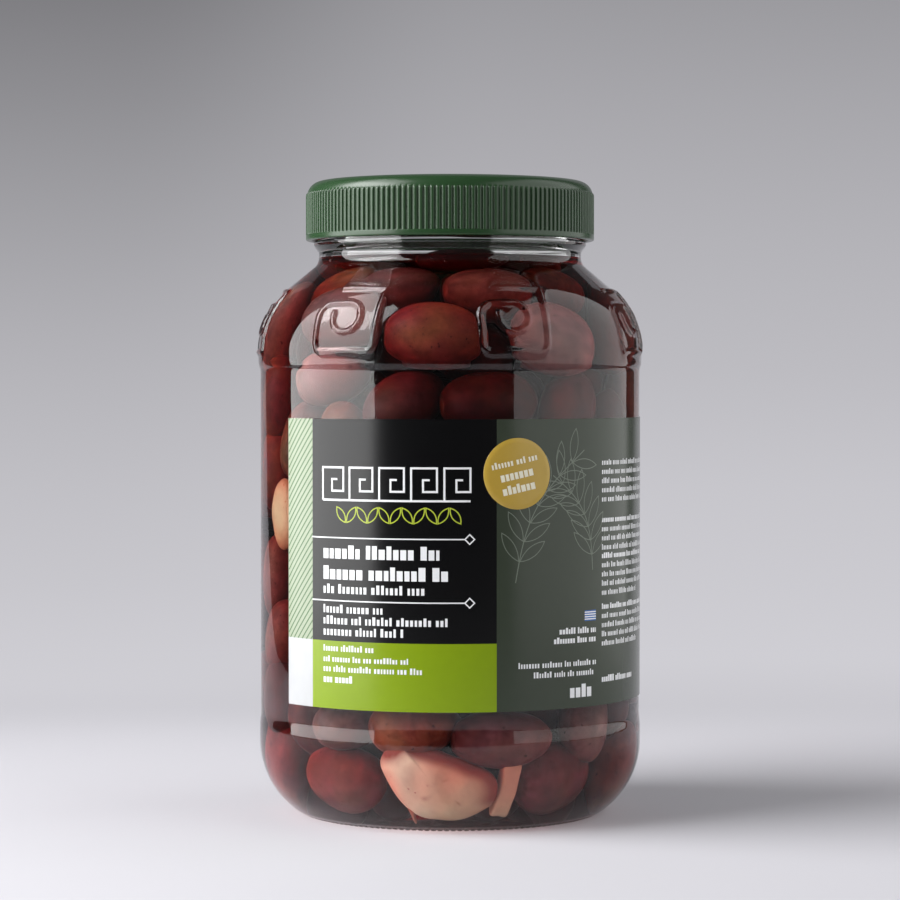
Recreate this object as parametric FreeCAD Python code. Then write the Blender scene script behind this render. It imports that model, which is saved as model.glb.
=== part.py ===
import FreeCAD, Part
import math
import os

# Wide-mouth glass jar of whole olives in brine, with its ribbed screw lid, wrap label and seal.
# Millimetres. +Z is up, the origin is the centre of the base on the surface the jar stands on,
# and the front of the label faces -Y. An angle "turn" runs from the front towards +X.

# Glass body, outside, from the base up
BODY_RADIUS = 60.0            # recessed panel that carries the label
PUNT_RISE = 2.5               # hollow under the base
BEARING_WIDTH = 5.4           # flat ring that the jar stands on, inside the heel
HEEL_STEP = 0.35              # how far the heel ring stands proud of the panel
HEEL_ARC = 27.0               # radius of the rounded heel
HEEL_RISE = 23.0              # height where the heel's arc turns upright
HEEL_STRAIGHT = 4.9           # upright part of the heel ring
LOWER_STEP_HEIGHT = 3.7       # slanted step up to the panel
PANEL_HEIGHT = 108.2
UPPER_STEP_HEIGHT = 1.7
SHOULDER_STEP = 0.6           # how far the shoulder ring stands proud of the panel
SHOULDER_STRAIGHT = 3.7       # upright part of the shoulder ring
SHOULDER_ARC = 26.0
SHOULDER_SLOPE = 50.0         # degrees turned by the shoulder arc before the straight cone
NECK_RADIUS = 41.5
NECK_FILLET = 4.0
NECK_STRAIGHT = 1.6

# Transfer bead and threaded finish
BEAD_STEP = 1.6               # how far the bead stands proud of the neck
BEAD_CURVE = 2.0              # height of the curve under the bead
BEAD_HEIGHT = 3.4
BEAD_CHAMFER = 1.0
FINISH_STEP = 0.5             # how far the root of the thread stands proud of the neck
FINISH_HEIGHT = 16.2          # from the bead to the top of the rim
RIM_ROUND = 1.2

# Glass thickness
WALL = 3.0                    # at the label panel
BASE_THICKNESS = 5.0
INNER_HEEL_ARC = 21.0

# Screw thread, one start
THREAD_PITCH = 5.0
THREAD_TURNS = 1.4
THREAD_DROP = 12.4            # from the top of the rim down to where the glass thread starts
THREAD_DEPTH = 1.3
THREAD_BASE = 2.0             # width at its root
THREAD_CREST = 1.0            # width at its crest
THREAD_BITE = 0.3             # how far a thread is rooted in its wall
THREAD_CLEARANCE = 0.3        # along the axis, between the glass thread and the lid's
THREAD_SIDE_CLEARANCE = 0.5   # between a thread's crest and the wall it faces

# Greek key squares moulded round the shoulder
KEY_COUNT = 7
KEY_FIRST_TURN = 19.2         # degrees from the front
KEY_TILT = 23.8               # degrees, slope of the shoulder at the middle of a square
KEY_HALF = 10.5               # half the side of the square, to the middle of the ridge
KEY_INNER_HALF = 4.8          # half the side of the curl inside it
KEY_CURL_END = 1.2            # height where the curl ends, above the middle
KEY_CORNER_RADII = (0, 3.0, 3.0, 3.8, 4.0, 4.0, 3.0)
KEY_RIDGE = 2.5               # width of the ridge
KEY_HEIGHT = 0.8              # how far it stands proud
KEY_ROOT = 1.0                # how deep the ridge is rooted in the glass
KEY_REACH = 8.0               # half the depth of the ridge before it is trimmed to the shoulder

# Lid
LID_SKIRT_DEPTH = 16.9        # from the rim of the glass down to the edge of the lid
LID_TOP_THICKNESS = 1.8
LID_SKIRT_WALL = 1.3          # at the grooves between the ribs
LID_BAND_HEIGHT = 1.9         # plain band under the ribs
LID_BAND_CHAMFER = 0.4
LID_RIB_COUNT = 160
LID_RIB_HEIGHT = 0.5
LID_RIB_SHARE = 0.58          # share of the pitch that a rib's crest takes
LID_FLANK_SHARE = 0.08        # share of the pitch that each flank takes
LID_RIB_DROP = 3.7            # from the top of the lid down to the ribs
LID_TOP_ROUND = 4.6           # radius of the rounded top edge
LID_INNER_CORNER = 0.6

# Contents
BRINE_DROP = 23.2             # from the top of the rim down to the brine

# Label and seal
LABEL_BOTTOM_MARGIN = 5.9     # from the ends of the recessed panel
LABEL_TOP_MARGIN = 14.8
LABEL_START_TURN = -55.2
LABEL_END_TURN = 225.0
LABEL_THICKNESS = 0.2
SEAL_TURN = 19.7
SEAL_DROP = 16.3              # from the top of the label down to the middle of the seal
SEAL_RADIUS = 10.7
SEAL_THICKNESS = 0.15

# Radii and heights that follow from the sizes above
HEEL_RADIUS = BODY_RADIUS + HEEL_STEP
SHOULDER_RADIUS = BODY_RADIUS + SHOULDER_STEP
BEAD_RADIUS = NECK_RADIUS + BEAD_STEP
FINISH_RADIUS = NECK_RADIUS + FINISH_STEP
LID_INNER_RADIUS = FINISH_RADIUS + THREAD_DEPTH + THREAD_SIDE_CLEARANCE
LID_GROOVE_RADIUS = LID_INNER_RADIUS + LID_SKIRT_WALL
LID_RADIUS = LID_GROOVE_RADIUS + LID_RIB_HEIGHT
HEEL_TOP = HEEL_RISE + HEEL_STRAIGHT
PANEL_BOTTOM = HEEL_TOP + LOWER_STEP_HEIGHT
PANEL_TOP = PANEL_BOTTOM + PANEL_HEIGHT
SHOULDER_BOTTOM = PANEL_TOP + UPPER_STEP_HEIGHT
SHOULDER_ARC_START = SHOULDER_BOTTOM + SHOULDER_STRAIGHT
LABEL_BOTTOM = PANEL_BOTTOM + LABEL_BOTTOM_MARGIN
LABEL_TOP = PANEL_TOP - LABEL_TOP_MARGIN

UP = FreeCAD.Vector(0, 0, 1)
ORIGIN = FreeCAD.Vector(0, 0, 0)
FRONT_DEGREES = -90.0         # the front, -Y, as an angle from +X


def at(radius, height):
    """A point of a profile, in the XZ plane."""
    return FreeCAD.Vector(radius, 0, height)


def line(start, end):
    return Part.makeLine(start, end)


def chain(points):
    """Straight edges from each point to the next."""
    return [line(start, end) for start, end in zip(points, points[1:])]


def end_of(edges):
    """The last point of a run of profile edges, all made from start to end."""
    return edges[-1].Vertexes[-1].Point


def on_circle(centre, radius, degrees):
    """The point of a profile's circle at an angle above the horizontal."""
    angle = math.radians(degrees)
    return centre + FreeCAD.Vector(radius * math.cos(angle), 0, radius * math.sin(angle))


def profile_arc(centre, radius, start_degrees, end_degrees):
    """An arc of a profile between two angles above the horizontal."""
    angles = (start_degrees, (start_degrees + end_degrees) / 2, end_degrees)
    return Part.Arc(*[on_circle(centre, radius, angle) for angle in angles]).toShape()


def dome(top, edge):
    """A shallow arc from the axis to an edge, level at the axis."""
    drop = top.z - edge.z
    radius = (edge.x ** 2 + drop ** 2) / (2 * drop)
    half = edge.x / 2
    middle = at(half, top.z - radius + math.sqrt(radius ** 2 - half ** 2))
    return Part.Arc(top, middle, edge).toShape()


def revolve(edges):
    """The solid that a closed profile sweeps round the axis."""
    wire = Part.Wire(Part.__sortEdges__(edges))
    return Part.Face(wire).revolve(ORIGIN, UP, 360)


def turned(shape, turn):
    """A shape made on the +X side, turned to an angle from the front."""
    moved = shape.copy()
    moved.rotate(ORIGIN, UP, FRONT_DEGREES + turn)
    return moved


def shoulder_centre():
    return at(SHOULDER_RADIUS - SHOULDER_ARC, SHOULDER_ARC_START)


def shoulder_to_neck(offset):
    """Shoulder arc, cone and neck fillet, moved out of the glass by an offset."""
    centre = shoulder_centre()
    radius = SHOULDER_ARC + offset
    neck = NECK_RADIUS + offset
    fillet_radius = NECK_FILLET - offset
    slope = math.radians(SHOULDER_SLOPE)
    # The cone would meet the neck at this corner; the fillet touches both.
    cone_start = on_circle(centre, radius, SHOULDER_SLOPE)
    run = (cone_start.x - neck) / math.sin(slope)
    corner = at(neck, cone_start.z + run * math.cos(slope))
    reach = fillet_radius * math.tan(slope / 2)
    fillet_start = at(corner.x + reach * math.sin(slope), corner.z - reach * math.cos(slope))
    fillet_centre = at(neck + fillet_radius, corner.z + reach)
    edges = [profile_arc(centre, radius, 0, SHOULDER_SLOPE)]
    edges.append(line(cone_start, fillet_start))
    edges.append(profile_arc(fillet_centre, fillet_radius, 180 + SHOULDER_SLOPE, 180))
    return edges


def body_edges():
    """The outside of the glass, from the middle of the base to the end of the neck fillet."""
    heel_centre = at(HEEL_RADIUS - HEEL_ARC, HEEL_RISE)
    heel_start = -math.degrees(math.asin(HEEL_RISE / HEEL_ARC))
    bearing_outer = on_circle(heel_centre, HEEL_ARC, heel_start)
    bearing_inner = at(bearing_outer.x - BEARING_WIDTH, 0)
    edges = [dome(at(0, PUNT_RISE), bearing_inner)]
    edges.append(line(bearing_inner, bearing_outer))
    edges.append(profile_arc(heel_centre, HEEL_ARC, heel_start, 0))
    edges += chain([
        at(HEEL_RADIUS, HEEL_RISE),
        at(HEEL_RADIUS, HEEL_TOP),
        at(BODY_RADIUS, PANEL_BOTTOM),
        at(BODY_RADIUS, PANEL_TOP),
        at(SHOULDER_RADIUS, SHOULDER_BOTTOM),
        at(SHOULDER_RADIUS, SHOULDER_ARC_START),
    ])
    return edges + shoulder_to_neck(0)


def rim_top():
    """Height of the rim of the glass, where the lid seats."""
    neck_end = end_of(shoulder_to_neck(0)).z
    return neck_end + NECK_STRAIGHT + BEAD_HEIGHT + BEAD_CHAMFER + FINISH_HEIGHT


def finish_edges(neck_end):
    """The outside of the bead and the threaded finish, up to the top of the rim."""
    bead_bottom = at(NECK_RADIUS, neck_end.z + NECK_STRAIGHT)
    curve_end = at(BEAD_RADIUS, bead_bottom.z + BEAD_CURVE)
    diagonal = math.sqrt(0.5)
    curve_middle = at(NECK_RADIUS + BEAD_STEP * diagonal, bead_bottom.z + BEAD_CURVE * (1 - diagonal))
    bead_top = bead_bottom.z + BEAD_HEIGHT
    rim_centre = at(FINISH_RADIUS - RIM_ROUND, rim_top() - RIM_ROUND)
    edges = [line(neck_end, bead_bottom), Part.Arc(bead_bottom, curve_middle, curve_end).toShape()]
    edges += chain([
        curve_end,
        at(BEAD_RADIUS, bead_top),
        at(FINISH_RADIUS, bead_top + BEAD_CHAMFER),
        at(FINISH_RADIUS, rim_centre.z),
    ])
    edges.append(profile_arc(rim_centre, RIM_ROUND, 0, 90))
    return edges


def inner_edges():
    """The inside of the glass, from the middle of the floor up to the rim."""
    radius = BODY_RADIUS - WALL
    heel_centre = at(radius - INNER_HEEL_ARC, BASE_THICKNESS + INNER_HEEL_ARC)
    floor_edge = on_circle(heel_centre, INNER_HEEL_ARC, -90)
    # The shoulder and neck are thicker by the step, so that the inner wall stays in line.
    shoulder = shoulder_to_neck(-(WALL + SHOULDER_STEP))
    neck_end = end_of(shoulder)
    edges = [dome(at(0, PUNT_RISE + BASE_THICKNESS), floor_edge)]
    edges.append(profile_arc(heel_centre, INNER_HEEL_ARC, -90, 0))
    edges.append(line(at(radius, heel_centre.z), at(radius, SHOULDER_ARC_START)))
    edges += shoulder
    edges.append(line(neck_end, at(neck_end.x, rim_top())))
    return edges


def thread_ridge(wall_radius, direction, start_height):
    """A helical ridge on a wall: direction 1 stands outwards, -1 inwards."""
    root = wall_radius - direction * THREAD_BITE
    crest = wall_radius + direction * THREAD_DEPTH
    corners = [
        at(root, start_height - THREAD_BASE / 2),
        at(crest, start_height - THREAD_CREST / 2),
        at(crest, start_height + THREAD_CREST / 2),
        at(root, start_height + THREAD_BASE / 2),
    ]
    profile = Part.Wire(Part.makePolygon(corners + corners[:1]))
    helix = Part.makeHelix(THREAD_PITCH, THREAD_PITCH * THREAD_TURNS, wall_radius)
    helix.translate(UP * start_height)
    return Part.Wire(helix.Edges).makePipeShell([profile], True, True)


def rounded_path(corners, radii):
    """A flat wire through corners, each rounded by its radius; a radius of 0 stays sharp."""
    edges = []
    start = corners[0]
    for before, corner, after, radius in zip(corners, corners[1:], corners[2:], radii):
        if radius == 0:
            edges.append(line(start, corner))
            start = corner
            continue
        back = (before - corner).normalize()
        onward = (after - corner).normalize()
        half = back.getAngle(onward) / 2
        centre = corner + (back + onward).normalize() * (radius / math.sin(half))
        arc_start = corner + back * (radius / math.tan(half))
        arc_end = corner + onward * (radius / math.tan(half))
        arc_middle = centre + (corner - centre).normalize() * radius
        edges.append(line(start, arc_start))
        edges.append(Part.Arc(arc_start, arc_middle, arc_end).toShape())
        start = arc_end
    edges.append(line(start, corners[-1]))
    return Part.Wire(edges)


def key_path():
    """One Greek key on the plane that touches the shoulder: round a square, then into its middle."""
    tilt = math.radians(KEY_TILT)
    middle = on_circle(shoulder_centre(), SHOULDER_ARC, KEY_TILT)
    right = FreeCAD.Vector(0, 1, 0)
    up = FreeCAD.Vector(-math.sin(tilt), 0, math.cos(tilt))
    side = KEY_HALF
    inner = KEY_INNER_HALF
    corners = [(-inner, side), (side, side), (side, -side), (-side, -side), (-side, inner)]
    corners += [(inner, inner), (inner, -inner), (-inner, -inner), (-inner, KEY_CURL_END)]
    return rounded_path([middle + right * u + up * v for u, v in corners], KEY_CORNER_RADII)


def shoulder_skin():
    """A ring from just under the shoulder's surface to the height of the moulded squares."""
    outer = shoulder_to_neck(KEY_HEIGHT)[:2]
    inner = shoulder_to_neck(-KEY_ROOT)[:2]
    outer_radius = SHOULDER_RADIUS + KEY_HEIGHT
    inner_radius = SHOULDER_RADIUS - KEY_ROOT
    lower = chain([
        at(inner_radius, SHOULDER_ARC_START),
        at(inner_radius, SHOULDER_BOTTOM),
        at(outer_radius, SHOULDER_BOTTOM),
        at(outer_radius, SHOULDER_ARC_START),
    ])
    return revolve(lower + outer + [line(end_of(outer), end_of(inner))] + inner)


def key_ridges():
    """The moulded squares, spaced evenly round the shoulder and trimmed to its curve."""
    tilt = math.radians(KEY_TILT)
    outward = FreeCAD.Vector(math.cos(tilt), 0, math.sin(tilt))
    outline = key_path().makeOffset2D(KEY_RIDGE / 2, 0, False, False, False)
    outline.translate(outward * -KEY_REACH)
    ridge = Part.Face(outline).extrude(outward * (2 * KEY_REACH))
    square = shoulder_skin().common(ridge)
    return [turned(square, KEY_FIRST_TURN + index * 360 / KEY_COUNT) for index in range(KEY_COUNT)]


def make_jar():
    outside = body_edges()
    outside += finish_edges(end_of(outside))
    inside = inner_edges()
    rim = line(end_of(outside), end_of(inside))
    axis = line(at(0, PUNT_RISE), at(0, PUNT_RISE + BASE_THICKNESS))
    glass = revolve(outside + [rim, axis] + inside)
    thread = thread_ridge(FINISH_RADIUS, 1, rim_top() - THREAD_DROP)
    return glass.fuse([thread] + key_ridges()).removeSplitter()


def toothed_outline(crest_radius, groove_radius, count):
    """A closed wire of ribs and grooves round the axis."""
    pitch = 2 * math.pi / count
    crest = pitch * LID_RIB_SHARE
    flank = pitch * LID_FLANK_SHARE
    groove = pitch - crest - 2 * flank

    def point(radius, angle):
        return FreeCAD.Vector(radius * math.cos(angle), radius * math.sin(angle), 0)

    def arc(radius, start, span):
        return Part.Arc(*[point(radius, start + span * share) for share in (0, 0.5, 1)]).toShape()

    edges = []
    for index in range(count):
        crest_start = index * pitch
        crest_end = crest_start + crest
        groove_start = crest_end + flank
        groove_end = groove_start + groove
        edges.append(arc(crest_radius, crest_start, crest))
        edges.append(line(point(crest_radius, crest_end), point(groove_radius, groove_start)))
        edges.append(arc(groove_radius, groove_start, groove))
        edges.append(line(point(groove_radius, groove_end), point(crest_radius, crest_start + pitch)))
    return Part.Wire(edges)


def rib_ring(bottom, top):
    """The ribbed part of the skirt."""
    toothed = Part.Face(toothed_outline(LID_RADIUS, LID_GROOVE_RADIUS, LID_RIB_COUNT))
    toothed.translate(UP * bottom)
    hole = Part.makeCylinder(LID_INNER_RADIUS, top - bottom, UP * bottom, UP)
    return toothed.extrude(UP * (top - bottom)).cut(hole)


def lid_band(bottom, top):
    """The plain band under the ribs, chamfered at its lower edge."""
    corners = [
        at(LID_INNER_RADIUS, bottom),
        at(LID_RADIUS - LID_BAND_CHAMFER, bottom),
        at(LID_RADIUS, bottom + LID_BAND_CHAMFER),
        at(LID_RADIUS, top),
        at(LID_INNER_RADIUS, top),
    ]
    return revolve(chain(corners + corners[:1]))


def lid_cap(seat, ribs_top, top):
    """The flat top with its rounded edge, from the top of the ribs up."""
    round_height = top - LID_TOP_ROUND
    start_angle = math.degrees(math.asin((ribs_top - round_height) / LID_TOP_ROUND))
    round_radius = LID_GROOVE_RADIUS - LID_TOP_ROUND * math.cos(math.radians(start_angle))
    round_centre = at(round_radius, round_height)
    corner_centre = at(LID_INNER_RADIUS - LID_INNER_CORNER, seat - LID_INNER_CORNER)
    edges = [line(at(LID_INNER_RADIUS, ribs_top), at(LID_GROOVE_RADIUS, ribs_top))]
    edges.append(profile_arc(round_centre, LID_TOP_ROUND, start_angle, 90))
    edges += chain([at(round_radius, top), at(0, top), at(0, seat), at(corner_centre.x, seat)])
    edges.append(profile_arc(corner_centre, LID_INNER_CORNER, 90, 0))
    edges.append(line(at(LID_INNER_RADIUS, corner_centre.z), at(LID_INNER_RADIUS, ribs_top)))
    return revolve(edges)


def make_lid():
    seat = rim_top()
    top = seat + LID_TOP_THICKNESS
    bottom = seat - LID_SKIRT_DEPTH
    ribs_bottom = bottom + LID_BAND_HEIGHT
    ribs_top = top - LID_RIB_DROP
    # The lid's thread hooks under the glass thread, a clearance below it.
    flank_to_flank = (THREAD_BASE + THREAD_CREST) / 2
    thread_start = seat - THREAD_DROP - flank_to_flank - THREAD_CLEARANCE
    thread = thread_ridge(LID_INNER_RADIUS, -1, thread_start)
    pieces = [rib_ring(ribs_bottom, ribs_top), lid_band(bottom, ribs_bottom), thread]
    return lid_cap(seat, ribs_top, top).fuse(pieces).removeSplitter()


def make_contents():
    """Olives and brine, face to face with the glass, up to the level of the brine."""
    inside = inner_edges()
    mouth = line(end_of(inside), at(0, rim_top()))
    axis = line(at(0, rim_top()), at(0, PUNT_RISE + BASE_THICKNESS))
    filled = Part.makeCylinder(BODY_RADIUS, rim_top() - BRINE_DROP, ORIGIN, UP)
    return revolve(inside + [mouth, axis]).common(filled)


def wrap(inner_radius, thickness, bottom, top, start_turn, end_turn):
    """A thin skin on a cylinder, between two heights and two turns."""
    low = UP * bottom
    outer = Part.makeCylinder(inner_radius + thickness, top - bottom, low, UP, end_turn - start_turn)
    inner = Part.makeCylinder(inner_radius, top - bottom, low, UP)
    return turned(outer.cut(inner), start_turn)


def make_label():
    return wrap(BODY_RADIUS, LABEL_THICKNESS, LABEL_BOTTOM, LABEL_TOP, LABEL_START_TURN, LABEL_END_TURN)


def make_seal():
    """A round sticker on the label, punched out of a skin a little larger than itself."""
    face_radius = BODY_RADIUS + LABEL_THICKNESS
    height = LABEL_TOP - SEAL_DROP
    margin = SEAL_RADIUS / 4
    half_height = SEAL_RADIUS + margin
    half_turn = math.degrees(math.asin(half_height / face_radius))
    skin = wrap(
        face_radius,
        SEAL_THICKNESS,
        height - half_height,
        height + half_height,
        SEAL_TURN - half_turn,
        SEAL_TURN + half_turn,
    )
    punch = Part.makeCylinder(SEAL_RADIUS, face_radius, at(face_radius / 2, height), at(1, 0))
    return skin.common(turned(punch, SEAL_TURN))


NODES = {
    "jar": make_jar,
    "lid": make_lid,
    "olives_in_brine": make_contents,
    "label": make_label,
    "round_seal": make_seal,
}

os.makedirs("parts", exist_ok=True)
for name, make in NODES.items():
    shape = make()
    solid = shape.Solids[0]
    print(name, "solids", len(shape.Solids), "valid", solid.isValid(), "volume", round(solid.Volume, 1))
    solid.exportStep("parts/" + name + ".step")
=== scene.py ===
"""Looks of the jar of olives: clear glass jar, ribbed lid, wrap label, seal, brine and olives.

Shapes are worked out in millimetres in the row frame (+Z up, front of the label towards -Y) and
written to the meshes in metres. A "turn" is an angle in degrees from the front towards +X.
"""

import math

import bpy
import numpy as np
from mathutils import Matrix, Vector


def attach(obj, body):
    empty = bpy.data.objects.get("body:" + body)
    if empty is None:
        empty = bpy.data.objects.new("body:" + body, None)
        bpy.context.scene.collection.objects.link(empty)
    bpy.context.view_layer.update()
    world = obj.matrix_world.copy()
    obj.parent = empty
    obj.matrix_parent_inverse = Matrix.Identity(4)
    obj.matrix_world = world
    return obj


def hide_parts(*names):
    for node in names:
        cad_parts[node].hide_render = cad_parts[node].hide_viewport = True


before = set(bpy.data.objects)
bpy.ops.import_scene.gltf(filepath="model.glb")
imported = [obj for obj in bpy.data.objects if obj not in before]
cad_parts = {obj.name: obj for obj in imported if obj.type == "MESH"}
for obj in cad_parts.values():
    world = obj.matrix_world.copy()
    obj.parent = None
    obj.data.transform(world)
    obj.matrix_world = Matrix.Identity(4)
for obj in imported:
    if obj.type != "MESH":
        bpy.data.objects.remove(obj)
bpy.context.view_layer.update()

MM = 0.001

# Glass body
BODY_RADIUS = 60.0
PUNT_RISE = 2.5
BEARING_WIDTH = 5.4
HEEL_RADIUS = 60.35
HEEL_ARC = 27.0
HEEL_RISE = 23.0
HEEL_TOP = 27.9
PANEL_BOTTOM = 31.6
PANEL_TOP = 139.8
SHOULDER_RADIUS = 60.6
SHOULDER_BOTTOM = 141.5
SHOULDER_ARC_START = 145.2
SHOULDER_ARC = 26.0
SHOULDER_SLOPE = 50.0
NECK_RADIUS = 41.5
NECK_FILLET = 4.0
NECK_STRAIGHT = 1.6
BEAD_RADIUS = 43.1
BEAD_CURVE = 2.0
BEAD_HEIGHT = 3.4
BEAD_CHAMFER = 1.0
FINISH_RADIUS = 42.0
FINISH_HEIGHT = 16.2
RIM_ROUND = 1.2
STEP_ROUND = 1.1              # softening of the moulded steps
WALL = 3.0
NECK_WALL = 3.6
BASE_THICKNESS = 5.0
INNER_HEEL_ARC = 21.0
GLASS_IOR = 1.5
GLASS_TINT = (0.985, 0.995, 0.985)
FLOOR_RINGS = (9.0, 18.0, 27.0)
INNER_COLUMNS = 260
WET = 1                       # material of the glass below the brine
WATER_IOR = 1.36

# Screw thread on the glass
THREAD_PITCH = 5.0
THREAD_TURNS = 1.4
THREAD_START = 185.0
THREAD_START_TURN = 90.0
THREAD_DEPTH = 1.3
THREAD_BASE = 2.0
THREAD_CREST = 1.0

# Fine notches round the edge of the base
KNURL_COUNT = 148
KNURL_DEPTH = 0.35
KNURL_COLUMNS = 4

# Greek key squares moulded round the shoulder
KEY_COUNT = 7
KEY_FIRST_TURN = 19.2
KEY_TILT = 23.8
KEY_CORNERS = ((-4.8, 10.5), (10.5, 10.5), (10.5, -10.5), (-10.5, -10.5), (-10.5, 4.8),
               (4.8, 4.8), (4.8, -4.8), (-4.8, -4.8), (-4.8, 1.2))
KEY_CORNER_RADII = (0.01, 3.0, 3.0, 4.6, 4.7, 4.7, 4.6)
KEY_HEIGHT = 0.78
KEY_HALF_WIDTH = 1.45
KEY_COLUMN_SPAN = 12.3        # degrees either side of a square's middle with fine columns
KEY_COLUMN_STEP = 0.46

# Lid
LID_BOTTOM = 180.5
LID_TOP = 199.2
LID_INNER_RADIUS = 43.8
LID_GROOVE_RADIUS = 45.1
LID_RADIUS = 45.6
LID_BAND_TOP = 182.4
LID_RIB_TOP = 195.5
LID_TOP_ROUND = 4.6
LID_SEAT = 197.4
LID_RIB_COUNT = 160

# Contents
BRINE_LEVEL = 174.2
BRINE_OVERLAP = 0.3           # how far the brine reaches into the glass
MENISCUS = 0.9
BRINE_RED = (0.86, 0.28, 0.27)
BRINE_DENSITY = 125.0
BRINE_COLUMNS = 180
SURFACE = 1                   # material of the brine's top
BUBBLE_TURNS = (-7.0, -5.0, 21.0, 33.0, 96.0, 160.0, 215.0, 290.0)
OLIVE_COUNT = 186

# Label
LABEL_RADIUS = 60.2
FILM_INNER_RADIUS = 60.03
LABEL_BOTTOM = 37.5
LABEL_TOP = 125.0
BAND_TOP = 58.0               # top of the white and lime boxes
LABEL_START = -55.2
STRIP_END = -43.8
BLACK_END = 13.4
LABEL_END = 225.0
MARGIN_TURN = 47.5            # right-hand margin of the panel's print
PRINT_LIFT = 0.03
FILM_SHARP_FROM = 30.0        # degrees between faces
SEAL_TURN = 19.7
SEAL_HEIGHT = 108.7
SEAL_RADIUS = 10.7
SEAL_THICKNESS = 0.15
SEAL_TILT = 12.0

# Camera and studio
CAMERA_DISTANCE = 0.960
CAMERA_HEIGHT = 0.1385
CAMERA_DROP = 1.44            # degrees below level
CAMERA_LENS = 121.0
SWEEP_START = 0.30            # where the floor starts to curve up, behind the jar
SWEEP_RADIUS = 0.60
SWEEP_HALF_WIDTH = 0.46
FLOOR_FRONT = 0.42            # how far the floor reaches in front of the jar
SOFTBOXES = (                 # name, centre, width, height, radiance
    ("softbox_left", (-0.50, -0.19, 0.60), 0.66, 1.19, 4.6),
    ("softbox_left_core", (-0.48, -0.16, 0.56), 0.42, 0.30, 6.0),
    ("softbox_right", (0.50, -0.13, 0.49), 1.06, 0.97, 1.3),
)
ROOM_LIGHT = (0.06, 0.06, 0.062, 1.0)
ROOM_SEEN = (0.42, 0.415, 0.44, 1.0)

rng = np.random.default_rng(7)


# ---------------------------------------------------------------- materials

def new_material(name):
    made = bpy.data.materials.new(name)
    made.use_nodes = True
    made.node_tree.nodes.clear()
    made.node_tree.nodes.new("ShaderNodeOutputMaterial")
    return made


def add(material, kind, **inputs):
    """A node of a kind, with its named sockets set; underscores stand for spaces."""
    node = material.node_tree.nodes.new(kind)
    for key, value in inputs.items():
        node.inputs[key.replace("_", " ")].default_value = value
    return node


def wire(material, output, socket):
    material.node_tree.links.new(output, socket)


def shader_mix(material, factor, first, second):
    mix = add(material, "ShaderNodeMixShader")
    for socket, output in enumerate((factor, first, second)):
        wire(material, output, mix.inputs[socket])
    return mix.outputs["Shader"]


def finish_surface(material, shader):
    wire(material, shader, material.node_tree.nodes["Material Output"].inputs["Surface"])


def object_noise(material, scale, detail=3.0, roughness=0.5):
    """A noise that sticks to the piece, in noise cells per metre."""
    place = add(material, "ShaderNodeTexCoord")
    noise = add(material, "ShaderNodeTexNoise", Scale=scale, Detail=detail, Roughness=roughness)
    wire(material, place.outputs["Object"], noise.inputs["Vector"])
    return noise.outputs["Fac"]


def add_bump(material, principled, height, distance, strength=1.0):
    bump = add(material, "ShaderNodeBump", Strength=strength, Distance=distance)
    wire(material, height, bump.inputs["Height"])
    wire(material, bump.outputs["Normal"], principled.inputs["Normal"])


def remap(material, value, low, high, from_low=0.0, from_high=1.0):
    """A value of one range spread between two others."""
    spread = add(material, "ShaderNodeMapRange", From_Min=from_low, From_Max=from_high, To_Min=low,
                 To_Max=high)
    wire(material, value, spread.inputs["Value"])
    return spread.outputs["Result"]


def colour_mix(material, factor):
    """A mix of two colours, its sockets 6 and 7, by a factor."""
    mix = add(material, "ShaderNodeMix")
    mix.data_type = "RGBA"
    wire(material, factor, mix.inputs["Factor"])
    return mix


def plastic(name, colour, roughness, ior, mottle=0.06, scale=400.0, grain=0.00001):
    """An opaque, slightly uneven surface: film, print or moulded plastic."""
    material = new_material(name)
    principled = add(material, "ShaderNodeBsdfPrincipled", Roughness=roughness, IOR=ior)
    noise = object_noise(material, scale)
    tint = add(material, "ShaderNodeHueSaturation", Color=(*colour, 1.0))
    wire(material, remap(material, noise, 1.0 - mottle, 1.0 + mottle), tint.inputs["Value"])
    wire(material, tint.outputs["Color"], principled.inputs["Base Color"])
    add_bump(material, principled, noise, grain)
    finish_surface(material, principled.outputs["BSDF"])
    return material


def clear(name, colour, ior, absorb=None, density=0.0, wave=0.0):
    """A clear dielectric that lets lamp light straight through, as its shadow is not dark."""
    material = new_material(name)
    principled = add(material, "ShaderNodeBsdfPrincipled", Base_Color=(*colour, 1.0), Roughness=0.0,
                     IOR=ior, Transmission_Weight=1.0)
    if wave:
        add_bump(material, principled, object_noise(material, 55.0, 1.0), wave)
    through = add(material, "ShaderNodeBsdfTransparent", Color=(*colour, 1.0))
    path = add(material, "ShaderNodeLightPath")
    finish_surface(material, shader_mix(material, path.outputs["Is Shadow Ray"],
                                        principled.outputs["BSDF"], through.outputs["BSDF"]))
    if absorb:
        volume = add(material, "ShaderNodeVolumeAbsorption", Color=(*absorb, 1.0), Density=density)
        wire(material, volume.outputs["Volume"],
             material.node_tree.nodes["Material Output"].inputs["Volume"])
    return material


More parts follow.
